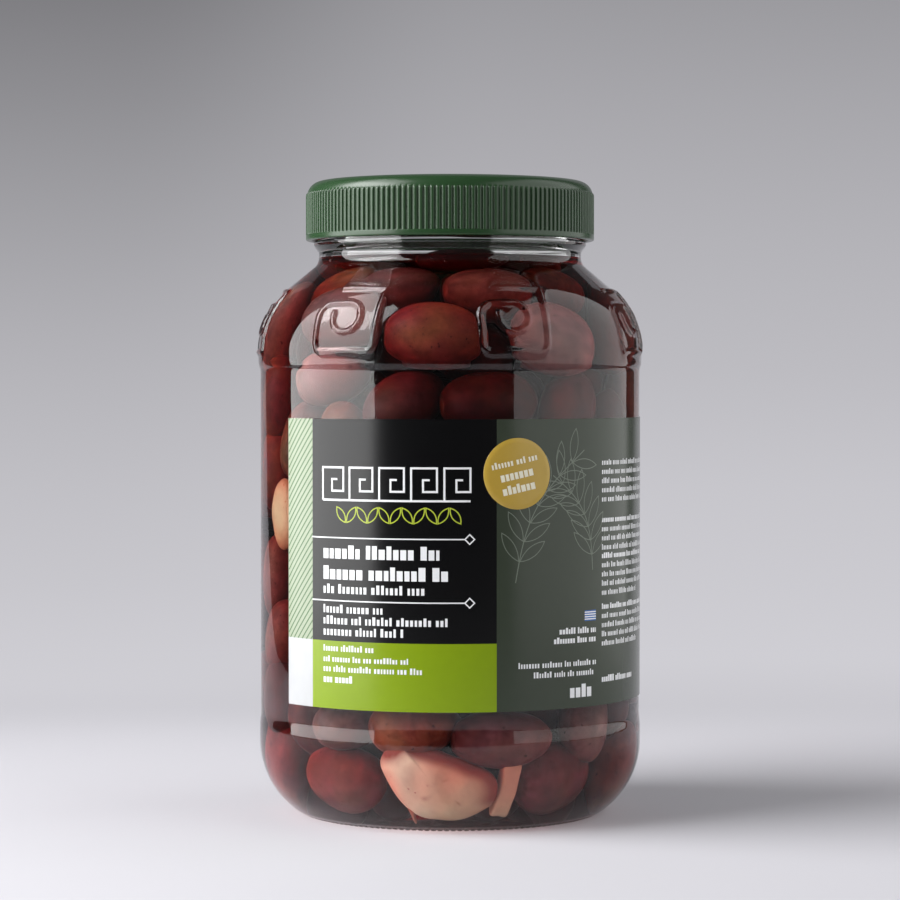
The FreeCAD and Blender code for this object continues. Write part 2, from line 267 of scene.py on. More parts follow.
def skin(name, roughness, ior, fleck_colour, fleck_range, mottle):
    """Skin or flesh coloured by the mesh's own "tone", with mottling and small flecks."""
    material = new_material(name)
    principled = add(material, "ShaderNodeBsdfPrincipled", Roughness=roughness, IOR=ior)
    tone = add(material, "ShaderNodeVertexColor")
    tone.layer_name = "tone"
    blotches = object_noise(material, 230.0, 4.0, 0.65)
    patches = object_noise(material, 75.0, 1.0)
    tint = add(material, "ShaderNodeHueSaturation")
    wire(material, tone.outputs["Color"], tint.inputs["Color"])
    wire(material, remap(material, blotches, 1.0 - mottle, 1.0 + mottle, 0.25, 0.75),
         tint.inputs["Value"])
    hue = 0.05 * mottle
    wire(material, remap(material, patches, 0.5 - hue, 0.5 + hue, 0.3, 0.7), tint.inputs["Hue"])
    flecks = remap(material, object_noise(material, 700.0, 2.0), 0.0, 1.0, *fleck_range)
    mix = colour_mix(material, flecks)
    wire(material, tint.outputs["Color"], mix.inputs[6])
    mix.inputs[7].default_value = (*fleck_colour, 1.0)
    wire(material, mix.outputs[2], principled.inputs["Base Color"])
    add_bump(material, principled, object_noise(material, 320.0, 1.0), 0.0006, 0.45)
    finish_surface(material, principled.outputs["BSDF"])
    return material


# ---------------------------------------------------------------- meshes

def make_piece(name, points, faces, materials, face_materials=None, tones=None):
    """A smooth-shaded mesh object from points in millimetres."""
    mesh = bpy.data.meshes.new(name)
    mesh.from_pydata((np.asarray(points, float) * MM).tolist(), [], faces)
    for material in materials:
        mesh.materials.append(material)
    if face_materials is not None:
        mesh.polygons.foreach_set("material_index", np.asarray(face_materials, np.int32))
    mesh.polygons.foreach_set("use_smooth", np.ones(len(mesh.polygons), bool))
    if tones is not None:
        layer = mesh.color_attributes.new("tone", "FLOAT_COLOR", "POINT")
        rgba = np.ones((len(points), 4))
        rgba[:, :3] = tones
        layer.data.foreach_set("color", rgba.ravel())
    mesh.update()
    made = bpy.data.objects.new(name, mesh)
    bpy.context.scene.collection.objects.link(made)
    return made


def hand_over(piece, slot, *nodes):
    """A piece moves with the jar and stands for CAD nodes, which it hides; its slot is not used."""
    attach(piece, "root")
    if nodes:
        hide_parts(*nodes)


class Rings:
    """Rings of points round the axis, each bridged to the one before."""

    def __init__(self):
        self.points = []
        self.faces = []
        self.materials = []
        self.last = None

    def add(self, turns, radii, heights, material=0):
        """One more ring, with faces between it and the last one."""
        angles = np.radians(np.asarray(turns, float))
        radii = np.broadcast_to(radii, angles.shape)
        heights = np.broadcast_to(heights, angles.shape)
        start = len(self.points)
        places = np.stack([radii * np.sin(angles), -radii * np.cos(angles), heights], axis=1)
        self.points.extend(places.tolist())
        ring = (start, np.asarray(turns, float))
        if self.last is not None:
            self.bridge(self.last, ring, material)
        self.last = ring

    def follow(self, turns, profile, material=0):
        """Rings of the same columns along a profile of (radius, height)."""
        for radius, height in profile:
            self.add(turns, radius, height, material)

    def bridge(self, first, second, material):
        """Faces between two rings; rings of unlike counts are stitched with triangles."""
        a, a_turns = first
        b, b_turns = second
        na, nb = len(a_turns), len(b_turns)
        if na == nb:
            i = np.arange(na)
            j = (i + 1) % na
            self.faces.extend(np.stack([a + i, a + j, b + j, b + i], axis=1).tolist())
            self.materials.extend([material] * na)
            return
        i = j = 0
        while i < na or j < nb:
            next_a = a_turns[(i + 1) % na] + 360.0 * ((i + 1) // na)
            next_b = b_turns[(j + 1) % nb] + 360.0 * ((j + 1) // nb)
            if j >= nb or (i < na and next_a <= next_b):
                self.faces.append([a + i % na, a + (i + 1) % na, b + j % nb])
                i += 1
            else:
                self.faces.append([a + i % na, b + (j + 1) % nb, b + j % nb])
                j += 1
            self.materials.append(material)

    def close(self, height, outwards, material=0):
        """A fan from the last ring to a point on the axis."""
        start, turns = self.last
        count = len(turns)
        self.points.append([0.0, 0.0, height])
        middle = len(self.points) - 1
        for i in range(count):
            j = (i + 1) % count
            self.faces.append([middle, start + j, start + i] if outwards else
                              [start + i, start + j, middle])
            self.materials.append(material)

    def piece(self, name, materials):
        return make_piece(name, self.points, self.faces, materials, self.materials)


def band_faces(rows, count, base=0):
    """Faces between closed rows of equally many points."""
    faces = []
    for row in range(rows - 1):
        a = base + row * count
        b = a + count
        for k in range(count):
            j = (k + 1) % count
            faces.append((a + k, b + k, b + j, a + j))
    return faces


def arc(centre, radius, start, end, step):
    """Points of a profile's arc between two angles, about a step apart."""
    count = max(3, math.ceil(abs(math.radians(end - start)) * radius / step) + 1)
    angles = np.radians(np.linspace(start, end, count))
    return [(centre[0] + radius * math.cos(a), centre[1] + radius * math.sin(a)) for a in angles]


def softened(corners, reach):
    """A profile's straight run with its inner corners rounded off."""
    points = [corners[0]]
    for before, corner, after in zip(corners, corners[1:], corners[2:]):
        here = np.array(corner, float)
        back = np.array(before, float) - here
        onward = np.array(after, float) - here
        d = min(reach, 0.45 * np.linalg.norm(back), 0.45 * np.linalg.norm(onward))
        start = here + back / np.linalg.norm(back) * d
        end = here + onward / np.linalg.norm(onward) * d
        for t in (0.0, 0.33, 0.67, 1.0):
            points.append(tuple((1 - t) ** 2 * start + 2 * t * (1 - t) * here + t ** 2 * end))
    points.append(corners[-1])
    return points


def shoulder_to_neck(offset, step):
    """Shoulder arc, cone and neck fillet, moved out of the glass by an offset."""
    centre = (SHOULDER_RADIUS - SHOULDER_ARC, SHOULDER_ARC_START)
    radius = SHOULDER_ARC + offset
    neck = NECK_RADIUS + offset
    fillet = NECK_FILLET - offset
    slope = math.radians(SHOULDER_SLOPE)
    cone = (centre[0] + radius * math.cos(slope), centre[1] + radius * math.sin(slope))
    corner_z = cone[1] + (cone[0] - neck) / math.tan(slope)
    reach = fillet * math.tan(slope / 2)
    points = arc(centre, radius, 0, SHOULDER_SLOPE, step)
    return points + arc((neck + fillet, corner_z + reach), fillet, 180 + SHOULDER_SLOPE, 180, 0.7)


# ---------------------------------------------------------------- jar

def rounded_path(corners, radii, step=0.3):
    """Points along a flat path whose inner corners are rounded."""
    corners = [np.array(c, float) for c in corners]
    points = [corners[0]]
    for before, corner, after, radius in zip(corners, corners[1:], corners[2:], radii):
        back = (before - corner) / np.linalg.norm(before - corner)
        onward = (after - corner) / np.linalg.norm(after - corner)
        start = corner + back * radius
        end = corner + onward * radius
        centre = corner + (back + onward) * radius
        for t in np.linspace(0, math.pi / 2, 9):
            points.append(centre - onward * radius * math.cos(t) - back * radius * math.sin(t))
    points.append(corners[-1])
    spaced = []
    for start, end in zip(points, points[1:]):
        count = max(1, int(np.linalg.norm(end - start) / step))
        spaced.extend(start + (end - start) * k / count for k in range(count))
    spaced.append(points[-1])
    return np.array(spaced)


def key_relief(turns, radii, heights):
    """How far each point of the shoulder stands proud because of the Greek key squares."""
    path = rounded_path(KEY_CORNERS, KEY_CORNER_RADII)
    tilt = math.radians(KEY_TILT)
    middle_radius = SHOULDER_RADIUS - SHOULDER_ARC + SHOULDER_ARC * math.cos(tilt)
    middle_height = SHOULDER_ARC_START + SHOULDER_ARC * math.sin(tilt)
    pitch = 360.0 / KEY_COUNT
    off = (turns - KEY_FIRST_TURN + pitch / 2) % pitch - pitch / 2
    u = radii * np.sin(np.radians(off))
    out = radii * np.cos(np.radians(off)) - middle_radius
    v = (heights - middle_height) * math.cos(tilt) - out * math.sin(tilt)
    distance = np.full(u.shape, 1e9)
    for x, y in path:
        distance = np.minimum(distance, (u - x) ** 2 + (v - y) ** 2)
    share = np.clip(np.sqrt(distance) / KEY_HALF_WIDTH, 0, 1)
    return KEY_HEIGHT * 0.5 * (1 + np.cos(math.pi * share))


def thread_relief(turns, heights):
    """How far each point of the finish stands proud because of the screw thread."""
    relief = np.zeros(turns.shape)
    for lap in (0, 1):
        run = (turns - THREAD_START_TURN) % 360 + 360 * lap
        centre = THREAD_START + THREAD_PITCH * run / 360
        ends = np.clip(np.minimum(run, THREAD_TURNS * 360 - run) / 10, 0, 1)
        off = np.abs(heights - centre)
        flank = (THREAD_BASE - THREAD_CREST) / 2
        ridge = np.clip((THREAD_BASE / 2 - off) / flank, 0, 1)
        relief = np.maximum(relief, THREAD_DEPTH * ridge * ends)
    return relief


def key_columns():
    """Turns of the outer columns, fine across each Greek key square."""
    pitch = 360.0 / KEY_COUNT
    fine = int(round(2 * KEY_COLUMN_SPAN / KEY_COLUMN_STEP))
    coarse = 12
    turns = []
    for index in range(KEY_COUNT):
        middle = KEY_FIRST_TURN + (index - 3) * pitch
        turns.extend(middle + np.linspace(-KEY_COLUMN_SPAN, KEY_COLUMN_SPAN, fine + 1))
        gap = np.linspace(KEY_COLUMN_SPAN, pitch - KEY_COLUMN_SPAN, coarse + 1)[1:-1]
        turns.extend(middle + gap)
    return np.array(turns)


def even_columns(count, start):
    return start + np.arange(count) * 360.0 / count


def inner_profile(offset=0.0):
    """The inside of the glass, from the floor's edge up, moved into the wall by an offset."""
    radius = BODY_RADIUS - WALL
    centre = (radius - INNER_HEEL_ARC, BASE_THICKNESS + INNER_HEEL_ARC)
    points = arc(centre, INNER_HEEL_ARC + offset, -90, 0, 1.5)
    points += [(radius + offset, 60.0), (radius + offset, 100.0)]
    points += shoulder_to_neck(-NECK_WALL + offset, 1.4)
    return points


def floor_height(radius):
    """Height of the domed glass floor inside the jar."""
    edge = BODY_RADIUS - WALL - INNER_HEEL_ARC
    return BASE_THICKNESS + PUNT_RISE * max(0.0, 1 - (radius / edge) ** 2)


def rim_height():
    neck_end = shoulder_to_neck(0, 1.0)[-1][1]
    return neck_end + NECK_STRAIGHT + BEAD_HEIGHT + BEAD_CHAMFER + FINISH_HEIGHT


def outer_profile():
    """The outside of the glass above the base's edge, in runs that share the fine columns."""
    centre = (HEEL_RADIUS - HEEL_ARC, HEEL_RISE)
    heel = arc(centre, HEEL_ARC, -55.0, 0, 1.3)
    steps = softened([
        heel[-1],
        (HEEL_RADIUS, HEEL_TOP),
        (BODY_RADIUS - 0.05, PANEL_BOTTOM),
        (BODY_RADIUS, PANEL_BOTTOM + 3),
        (BODY_RADIUS, PANEL_TOP),
        (SHOULDER_RADIUS, SHOULDER_BOTTOM),
        (SHOULDER_RADIUS, SHOULDER_ARC_START - 1.2),
    ], STEP_ROUND)
    shoulder = shoulder_to_neck(0, 0.46)
    neck_end = shoulder[-1][1]
    bead_bottom = neck_end + NECK_STRAIGHT
    bead_top = bead_bottom + BEAD_HEIGHT
    bead = softened([
        (NECK_RADIUS, neck_end + 0.4),
        (NECK_RADIUS, bead_bottom),
        (BEAD_RADIUS, bead_bottom + BEAD_CURVE),
        (BEAD_RADIUS, bead_top),
        (FINISH_RADIUS, bead_top + BEAD_CHAMFER),
        (FINISH_RADIUS, bead_top + BEAD_CHAMFER + 0.6),
    ], 0.9)
    rim = rim_height()
    finish = [(FINISH_RADIUS, z) for z in np.arange(bead_top + 2.2, rim - 1.4, 0.55)]
    lip = arc((FINISH_RADIUS - RIM_ROUND, rim - RIM_ROUND), RIM_ROUND, 0, 90, 0.5)
    return heel + steps[1:] + shoulder + bead + finish + lip


def make_jar():
    rings = Rings()
    # Underside and its notched edge
    bearing_angle = -math.asin(HEEL_RISE / HEEL_ARC)
    bearing_outer = HEEL_RADIUS - HEEL_ARC + HEEL_ARC * math.cos(bearing_angle)
    bearing_inner = bearing_outer - BEARING_WIDTH
    turns = even_columns(KNURL_COUNT * KNURL_COLUMNS, -180.0)
    notch = (np.arange(len(turns)) % KNURL_COLUMNS == 0).astype(float)
    underside = [(radius, PUNT_RISE * (1 - (radius / bearing_inner) ** 2))
                 for radius in (8.0, 16.0, 24.0, 31.0, 36.0, bearing_inner - 1.0)]
    rings.follow(turns, underside[:1])
    rings.close(PUNT_RISE, True)
    rings.follow(turns, underside[1:])
    edge = [(bearing_inner + 0.6, 0.0, 0.3), (bearing_inner + 2.0, 0.0, 1.0),
            (bearing_outer - 1.4, 0.0, 1.0), (bearing_outer - 0.3, 0.06, 1.0),
            (bearing_outer + 0.5, 0.55, 0.8), (bearing_outer + 0.85, 0.95, 0.0)]
    for radius, height, depth in edge:
        rings.add(turns, radius, height + KNURL_DEPTH * notch * depth)
    # Outside
    columns = key_columns()
    for radius, height in outer_profile():
        radii = np.full(columns.shape, radius)
        heights = np.full(columns.shape, height)
        if SHOULDER_BOTTOM < height < SHOULDER_ARC_START + SHOULDER_ARC:
            rise = key_relief(columns, radii, heights)
            lean = max(0.0, min(1.0, (height - SHOULDER_ARC_START) / SHOULDER_ARC))
            lean = min(math.asin(lean), math.radians(SHOULDER_SLOPE))
            radii = radii + rise * math.cos(lean)
            heights = heights + rise * math.sin(lean)
        elif height > LID_BOTTOM and radius == FINISH_RADIUS:
            radii = radii + thread_relief(columns, heights)
        rings.add(columns, radii, heights)
    # Inside, dry down to the brine and wet below it
    inside = even_columns(INNER_COLUMNS, columns[0])
    neck = NECK_RADIUS - NECK_WALL
    rim = rim_height()
    brine_edge = BRINE_LEVEL + MENISCUS
    rings.follow(inside, [(neck + 0.7, rim), (neck + 0.2, rim - 0.2), (neck, rim - 0.7),
                          (neck, rim - 10.0), (neck, 178.0), (neck, brine_edge)])
    wet_wall = [point for point in inner_profile() if point[1] < brine_edge - 0.2]
    rings.follow(inside, reversed(wet_wall), WET)
    rings.follow(inside, [(radius, floor_height(radius)) for radius in reversed(FLOOR_RINGS)], WET)
    rings.close(floor_height(0), False, WET)
    glass = clear("jar_glass", GLASS_TINT, GLASS_IOR, wave=0.00012)
    wet = clear("jar_glass_wet", (1.0, 1.0, 1.0), GLASS_IOR / WATER_IOR, wave=0.0002)
    hand_over(rings.piece("jar_glass_body", [glass, wet]), "glass", "jar")


# ---------------------------------------------------------------- lid

def make_lid():
    rings = Rings()
    shares = np.array((0.0, 0.16, 0.27, 0.32, 0.38, 0.5, 0.62, 0.68, 0.73, 0.84))
    pitch = 360.0 / LID_RIB_COUNT
    turns = (np.arange(LID_RIB_COUNT)[:, None] * pitch + shares[None, :] * pitch).ravel() - 180.0
    off = np.minimum(shares, 1 - shares)
    rib = np.clip((0.38 - off) / 0.09, 0, 1) * (1 - 0.25 * (off / 0.29) ** 2).clip(0, 1)
    ribs = np.tile(rib, LID_RIB_COUNT) * (LID_RADIUS - LID_GROOVE_RADIUS)
    plain = [(LID_INNER_RADIUS + 0.3, LID_BOTTOM), (LID_RADIUS - 0.5, LID_BOTTOM),
             (LID_RADIUS - 0.15, LID_BOTTOM + 0.15), (LID_RADIUS, LID_BOTTOM + 0.5),
             (LID_RADIUS, LID_BAND_TOP - 0.25), (LID_RADIUS - 0.05, LID_BAND_TOP - 0.05)]
    inside = even_columns(LID_RIB_COUNT, -180.0)
    inner = [(30.0, LID_SEAT), (LID_INNER_RADIUS - 0.6, LID_SEAT),
             (LID_INNER_RADIUS, LID_SEAT - 0.6), (LID_INNER_RADIUS, LID_BOTTOM + 0.3)]
    rings.follow(inside, inner[:1])
    rings.close(LID_SEAT, True)
    rings.follow(inside, inner[1:])
    rings.follow(turns, plain)
    ribbed = [(LID_BAND_TOP, 1.0), (LID_BAND_TOP + 0.25, 1.0), (189.0, 1.0),
              (LID_RIB_TOP - 0.9, 1.0), (LID_RIB_TOP - 0.45, 0.85), (LID_RIB_TOP - 0.15, 0.5)]
    for height, weight in ribbed:
        rings.add(turns, LID_GROOVE_RADIUS + ribs * weight, height)
    round_height = LID_TOP - LID_TOP_ROUND
    start = math.degrees(math.asin((LID_RIB_TOP - round_height) / LID_TOP_ROUND))
    centre = (LID_GROOVE_RADIUS - LID_TOP_ROUND * math.cos(math.radians(start)), round_height)
    rings.follow(turns, arc(centre, LID_TOP_ROUND, start, 90, 0.6))
    # The flat top, sunk a little inside its rounded edge
    for radius, drop in ((37.0, 0.0), (36.4, 0.25), (36.0, 0.3), (20.0, 0.3), (8.0, 0.3)):
        rings.add(inside, radius, LID_TOP - drop)
    rings.close(LID_TOP - 0.3, False)
    green = plastic("lid_green", (0.018, 0.052, 0.018), 0.26, 1.50, 0.05, 900.0, 0.00002)
    hand_over(rings.piece("lid_ribbed", [green]), "lid_plastic", "lid")


# ---------------------------------------------------------------- brine

def make_brine():
    rings = Rings()
    turns = even_columns(BRINE_COLUMNS, -180.0)
    floor = [(radius, floor_height(radius) - BRINE_OVERLAP) for radius in FLOOR_RINGS]
    rings.follow(turns, floor[:1])
    rings.close(floor_height(0) - BRINE_OVERLAP, True)
    rings.follow(turns, floor[1:])
    wall = [p for p in inner_profile(BRINE_OVERLAP) if p[1] < BRINE_LEVEL + MENISCUS - 0.5]
    wall.append((NECK_RADIUS - NECK_WALL + BRINE_OVERLAP, BRINE_LEVEL + MENISCUS))
    rings.follow(turns, wall)
    edge = NECK_RADIUS - NECK_WALL - 0.05
    top = [(edge, 1.0), (edge - 0.3, 0.72), (edge - 0.8, 0.45), (edge - 1.5, 0.22),
           (edge - 2.6, 0.07), (edge - 4.5, 0.0), (18.0, 0.0), (6.0, 0.0)]
    rings.follow(turns, [(radius, BRINE_LEVEL + MENISCUS * share) for radius, share in top], SURFACE)
    rings.close(BRINE_LEVEL, False, SURFACE)
    side = clear("brine_side", (1.0, 1.0, 1.0), 1.0, BRINE_RED, BRINE_DENSITY)
    surface = clear("brine_surface", (1.0, 1.0, 1.0), WATER_IOR, BRINE_RED, BRINE_DENSITY)
    hand_over(rings.piece("brine", [side, surface]), "olives", "olives_in_brine")


def globe_faces(rows, around, base, low, high):
    """Faces over rows of points round an axis, closed with fans to a low and a high point."""
    faces = [face[:1] + face[:0:-1] for face in band_faces(rows, around, base)]
    last = base + (rows - 1) * around
    for k in range(around):
        j = (k + 1) % around
        faces.append((low, base + j, base + k))
        faces.append((high, last + k, last + j))
    return faces


def make_bubbles():
    """Small air bubbles caught under the glass where the brine meets it."""
    points, faces = [], []
    dice = np.random.default_rng(12)
    around, rows = 14, 7
    for cluster in BUBBLE_TURNS:
        for _ in range(5):
            turn = cluster + dice.uniform(-3.5, 3.5)
            radius = dice.uniform(0.35, 0.85)
            _, outward, up = local_axes(turn)
            middle = outward * (37.4 - radius) + up * (BRINE_LEVEL - radius - dice.uniform(0.1, 2.2))
            base = len(points)
            for row in range(1, rows + 1):
                polar = math.pi * row / (rows + 1)
                for k in range(around):
                    angle = 2 * math.pi * k / around
                    way = np.array((math.sin(polar) * math.cos(angle),
                                    math.sin(polar) * math.sin(angle), -math.cos(polar)))
                    points.append(middle + way * radius)
            points.append(middle - up * radius)
            points.append(middle + up * radius)
            faces += globe_faces(rows, around, base, len(points) - 2, len(points) - 1)
    air = clear("bubble_air", (1.0, 1.0, 1.0), 1.0 / WATER_IOR)
    hand_over(make_piece("brine_bubbles", points, faces, [air]), "olives", "olives_in_brine")


# ---------------------------------------------------------------- olives

BROWN = (0.078, 0.017, 0.011)
DARK = (0.031, 0.005, 0.004)
PLUM = (0.062, 0.024, 0.024)
RED = (0.105, 0.038, 0.030)
PINK = (0.135, 0.080, 0.074)
ORANGE = (0.110, 0.042, 0.018)
DARK_PLUM = (0.045, 0.012, 0.012)
PALE_RED = (0.16, 0.050, 0.046)
PALE_BROWN = (0.15, 0.054, 0.028)
PALE_PLUM = (0.115, 0.040, 0.040)
PAINTED_DEEP_SHADE = 0.4              # painted shade: olives away from the glass are darker, which darkens the gaps between the olives at the glass
SKINS = (BROWN, DARK, PLUM, RED, PINK, ORANGE)

# Olives that show at the glass: turn, height, length, width, tilt, yaw, distance from the axis,
# colour. Tilt lifts the right-hand end, yaw sends it away from the glass.
SHOWN = (
    (-5.6, 149.3, 29.5, 18.0, -2, 4, 46.5, BROWN),
    (16.7, 165.4, 26.0, 15.5, -5, 6, 36.0, RED),
    (-26.3, 165.1, 25.0, 15.5, 10, 8, 34.5, PLUM),
    (-54.2, 165.6, 25.0, 15.0, 32, 0, 35.5, ORANGE),
    (-78.7, 151.3, 27.0, 18.0, 62, 0, 46.5, RED),
    (38.6, 147.9, 28.0, 19.5, -14, 0, 46.0, PINK),
    (53.1, 166.5, 23.0, 14.0, -20, 0, 35.5, BROWN),
    (-45.6, 137.5, 24.0, 17.5, 15, 20, 46.8, PINK),
    (-17.0, 129.5, 27.0, 19.0, 40, 40, 46.6, DARK_PLUM),
    (13.2, 130.0, 28.5, 19.5, 3, 4, 46.6, DARK),
    (45.0, 127.6, 26.0, 18.5, 62, 20, 46.8, PLUM),
    (-76.5, 131.0, 27.0, 18.0, 78, 0, 47.2, BROWN),
    (83.5, 130.3, 28.0, 18.5, 80, 0, 47.2, ORANGE),
    (76.0, 152.0, 26.0, 17.5, 66, 0, 46.0, BROWN),
    (-78.4, 109.0, 27.0, 18.0, 84, 0, 47.3, BROWN),
    (-77.5, 75.1, 27.0, 18.0, 80, 0, 47.3, RED),
    (-74.0, 56.6, 25.0, 17.0, 60, 0, 47.3, RED),
    (-76.0, 38.0, 25.0, 17.5, 84, 0, 47.2, PLUM),
    (-42.4, 15.2, 26.0, 18.0, -7, 0, 43.5, PALE_RED),
    (-40.1, 31.5, 24.0, 16.0, 10, 66, 45.0, PINK),
    (-12.3, 31.2, 27.0, 18.5, 5, 24, 46.6, PALE_BROWN),
    (17.5, 27.8, 30.0, 18.0, 0, 0, 47.3, PALE_PLUM),
    (40.5, 15.6, 26.0, 18.5, 10, 8, 43.0, PALE_PLUM),
    (52.5, 31.8, 26.0, 16.5, 82, 0, 47.2, PINK),
    (80.0, 16.0, 26.0, 17.5, 40, 0, 43.8, PALE_BROWN),
    (-80.0, 17.5, 26.0, 17.5, 80, 0, 44.5, PALE_RED),
    (7.0, 170.6, 26.0, 15.5, 3, -4, 25.0, DARK),
    (150.0, 170.4, 25.0, 15.0, 5, 0, 24.0, PLUM),
)
FLOATING = 169.0              # olives placed above this height float at the surface
NEAR_GLASS = 36.0             # olives further from the axis than this can be seen at the wall
NEAR_TOP = 150.0              # and those higher than this, through the shoulder
FINE, MEDIUM, COARSE = (40, 28), (26, 18), (14, 10)     # points round and along an olive
SURFACE_SLACK = 0.3           # how far an olive may break the surface


def unit(vector):
    return vector / max(np.linalg.norm(vector), 1e-9)


def local_axes(turn):
    """Right, outward and up at a turn round the jar."""
    angle = math.radians(turn)
    right = np.array((math.cos(angle), math.sin(angle), 0.0))
    outward = np.array((math.sin(angle), -math.cos(angle), 0.0))
    return right, outward, np.array((0.0, 0.0, 1.0))


def placed(turn, height, from_axis, tilt, yaw):
    """Centre and long axis of a thing placed by its turn, height, tilt and yaw."""
    right, outward, up = local_axes(turn)
    tilt = math.radians(tilt)
    yaw = math.radians(yaw)
    along = right * math.cos(tilt) * math.cos(yaw) + up * math.sin(tilt) * math.cos(yaw)
    along = along - outward * math.sin(yaw)
    return outward * from_axis + up * height, unit(along)


def push_inside(points, radius):
    """How spheres have to move to stay in the brine."""
    move = np.zeros(points.shape)
    flat = points[:, :2]
    reach = np.linalg.norm(flat, axis=1)
    out = flat / np.maximum(reach, 1e-6)[:, None]
    wall = BODY_RADIUS - WALL
    low_centre = np.array((wall - INNER_HEEL_ARC, BASE_THICKNESS + INNER_HEEL_ARC))
    high_centre = np.array((SHOULDER_RADIUS - SHOULDER_ARC, SHOULDER_ARC_START))
    high_radius = SHOULDER_ARC - NECK_WALL
    z = points[:, 2]
    over = np.maximum(reach - (wall - radius), 0)
    move[:, :2] -= out * over[:, None]
    low = (z < low_centre[1]) & (reach > low_centre[0])
    high = (z > high_centre[1]) & (reach > high_centre[0])
    for mask, centre, bend in ((low, low_centre, INNER_HEEL_ARC), (high, high_centre, high_radius)):
        dr = reach - centre[0]
        dz = z - centre[1]
        length = np.maximum(np.hypot(dr, dz), 1e-6)
        excess = np.where(mask, np.maximum(length - (bend - radius), 0), 0)
        move[:, :2] -= out * (excess * dr / length)[:, None]
        move[:, 2] -= excess * dz / length
    floor = BASE_THICKNESS + PUNT_RISE * np.clip(1 - (reach / low_centre[0]) ** 2, 0, 1)
    move[:, 2] += np.maximum(floor + radius - z, 0)
    move[:, 2] -= np.maximum(z + radius - BRINE_LEVEL - SURFACE_SLACK, 0)
    return move


def settle(centres, axes, lengths, widths, firm, blocks, steps=230):
    """Spreads olives until they hardly overlap; firm ones go back to where they show."""
    count = len(centres)
    home = centres.copy()
    home_axes = axes.copy()
    radii = np.stack([widths * 0.42, widths * 0.5, widths * 0.42], axis=1)
    span = lengths / 2 - radii[:, 0] * 0.94
    owner = np.repeat(np.arange(count), 3)
    flat_radii = radii.ravel()
    extra_points = np.array([b[0] for b in blocks])
    extra_radii = np.array([b[1] for b in blocks])
    offsets = np.array((-1.0, 0.0, 1.0))
    same = owner[:, None] == owner[None, :]
    for step in range(steps):
        balls = centres[:, None, :] + axes[:, None, :] * (offsets[None, :] * span[:, None])[:, :, None]
        balls = balls.reshape(-1, 3)
        gap = balls[:, None, :] - balls[None, :, :]
        distance = np.sqrt((gap ** 2).sum(axis=2)) + 1e-9
        overlap = np.maximum(flat_radii[:, None] + flat_radii[None, :] - distance, 0)
        overlap[same] = 0
        push = (gap * (overlap / distance)[:, :, None]).sum(axis=1) * 0.42
        far = balls[:, None, :] - extra_points[None, :, :]
        reach = np.sqrt((far ** 2).sum(axis=2)) + 1e-9
        inside = np.maximum(flat_radii[:, None] + extra_radii[None, :] - reach, 0)
        push += (far * (inside / reach)[:, :, None]).sum(axis=1) * 0.9
        push += push_inside(balls, flat_radii)
        push = push.reshape(count, 3, 3)
        shift = push.sum(axis=1) / 2.2
        shift[:, 2] -= 0.03 * (1 - step / steps)
        turn = (push[:, 2] - push[:, 0]) / (2 * span[:, None]) * 0.6
        keep = np.where(firm, 0.12, 1.0)[:, None]
        centres = centres + np.clip(shift, -2.5, 2.5) * keep
        axes = axes + turn * keep
        centres = np.where(firm[:, None], centres * 0.7 + home * 0.3, centres)
        axes = np.where(firm[:, None], axes * 0.7 + home_axes * 0.3, axes)
        axes /= np.linalg.norm(axes, axis=1)[:, None]
    return centres, axes


def clear_of_glass(points, margin=0.15):
    """Shifts a thing until no point of it is in the glass."""
    for _ in range(4):
        move = push_inside(points, margin)
        worst = np.argmax((move ** 2).sum(axis=1))
        points = points + move[worst]
    return points


def olive_points(length, width, around, along, seed):
    """An uneven olive along X: the stem's dimple at the low end, a small tip at the high end."""
    dice = np.random.default_rng(seed)
    polar = np.linspace(0, math.pi, along + 1)[1:-1]
    x = -np.cos(polar)
    swell = np.sin(polar) ** dice.uniform(0.80, 0.92) * (1 + dice.uniform(-0.07, 0.05) * x)
    stretch = x * length / 2
    stretch = stretch + 0.5 * np.exp(-((math.pi - polar) / 0.22) ** 2)
    stretch = stretch + 0.7 * np.exp(-(polar / 0.20) ** 2)
    spin = np.arange(around) * 2 * math.pi / around
    grid_x = np.repeat(stretch, around)
    radial = np.repeat(swell * width / 2, around)
    angle = np.tile(spin, along - 1)
    lump = np.ones(len(angle))
    for _ in range(5):
        lobes = dice.integers(1, 4)
        wave = dice.uniform(0.4, 2.2)
        phase = dice.uniform(0, 2 * math.pi, 2)
        share = dice.uniform(0.004, 0.018)
        lump += share * np.cos(lobes * angle + phase[0]) * np.cos(wave * grid_x / 6 + phase[1])
    flat = dice.uniform(0.93, 1.0)
    points = np.stack([grid_x, radial * lump * np.cos(angle), radial * lump * np.sin(angle) * flat], 1)
    bend = dice.uniform(-0.0016, 0.0016)
    points[:, 1] += bend * points[:, 0] ** 2
    low = (-length / 2 + 0.9, 0.0, 0.0)
    high = (length / 2 + 0.45, 0.0, 0.0)
    points = np.vstack([points, low, high])
    return points, globe_faces(along - 1, around, 0, len(points) - 2, len(points) - 1)


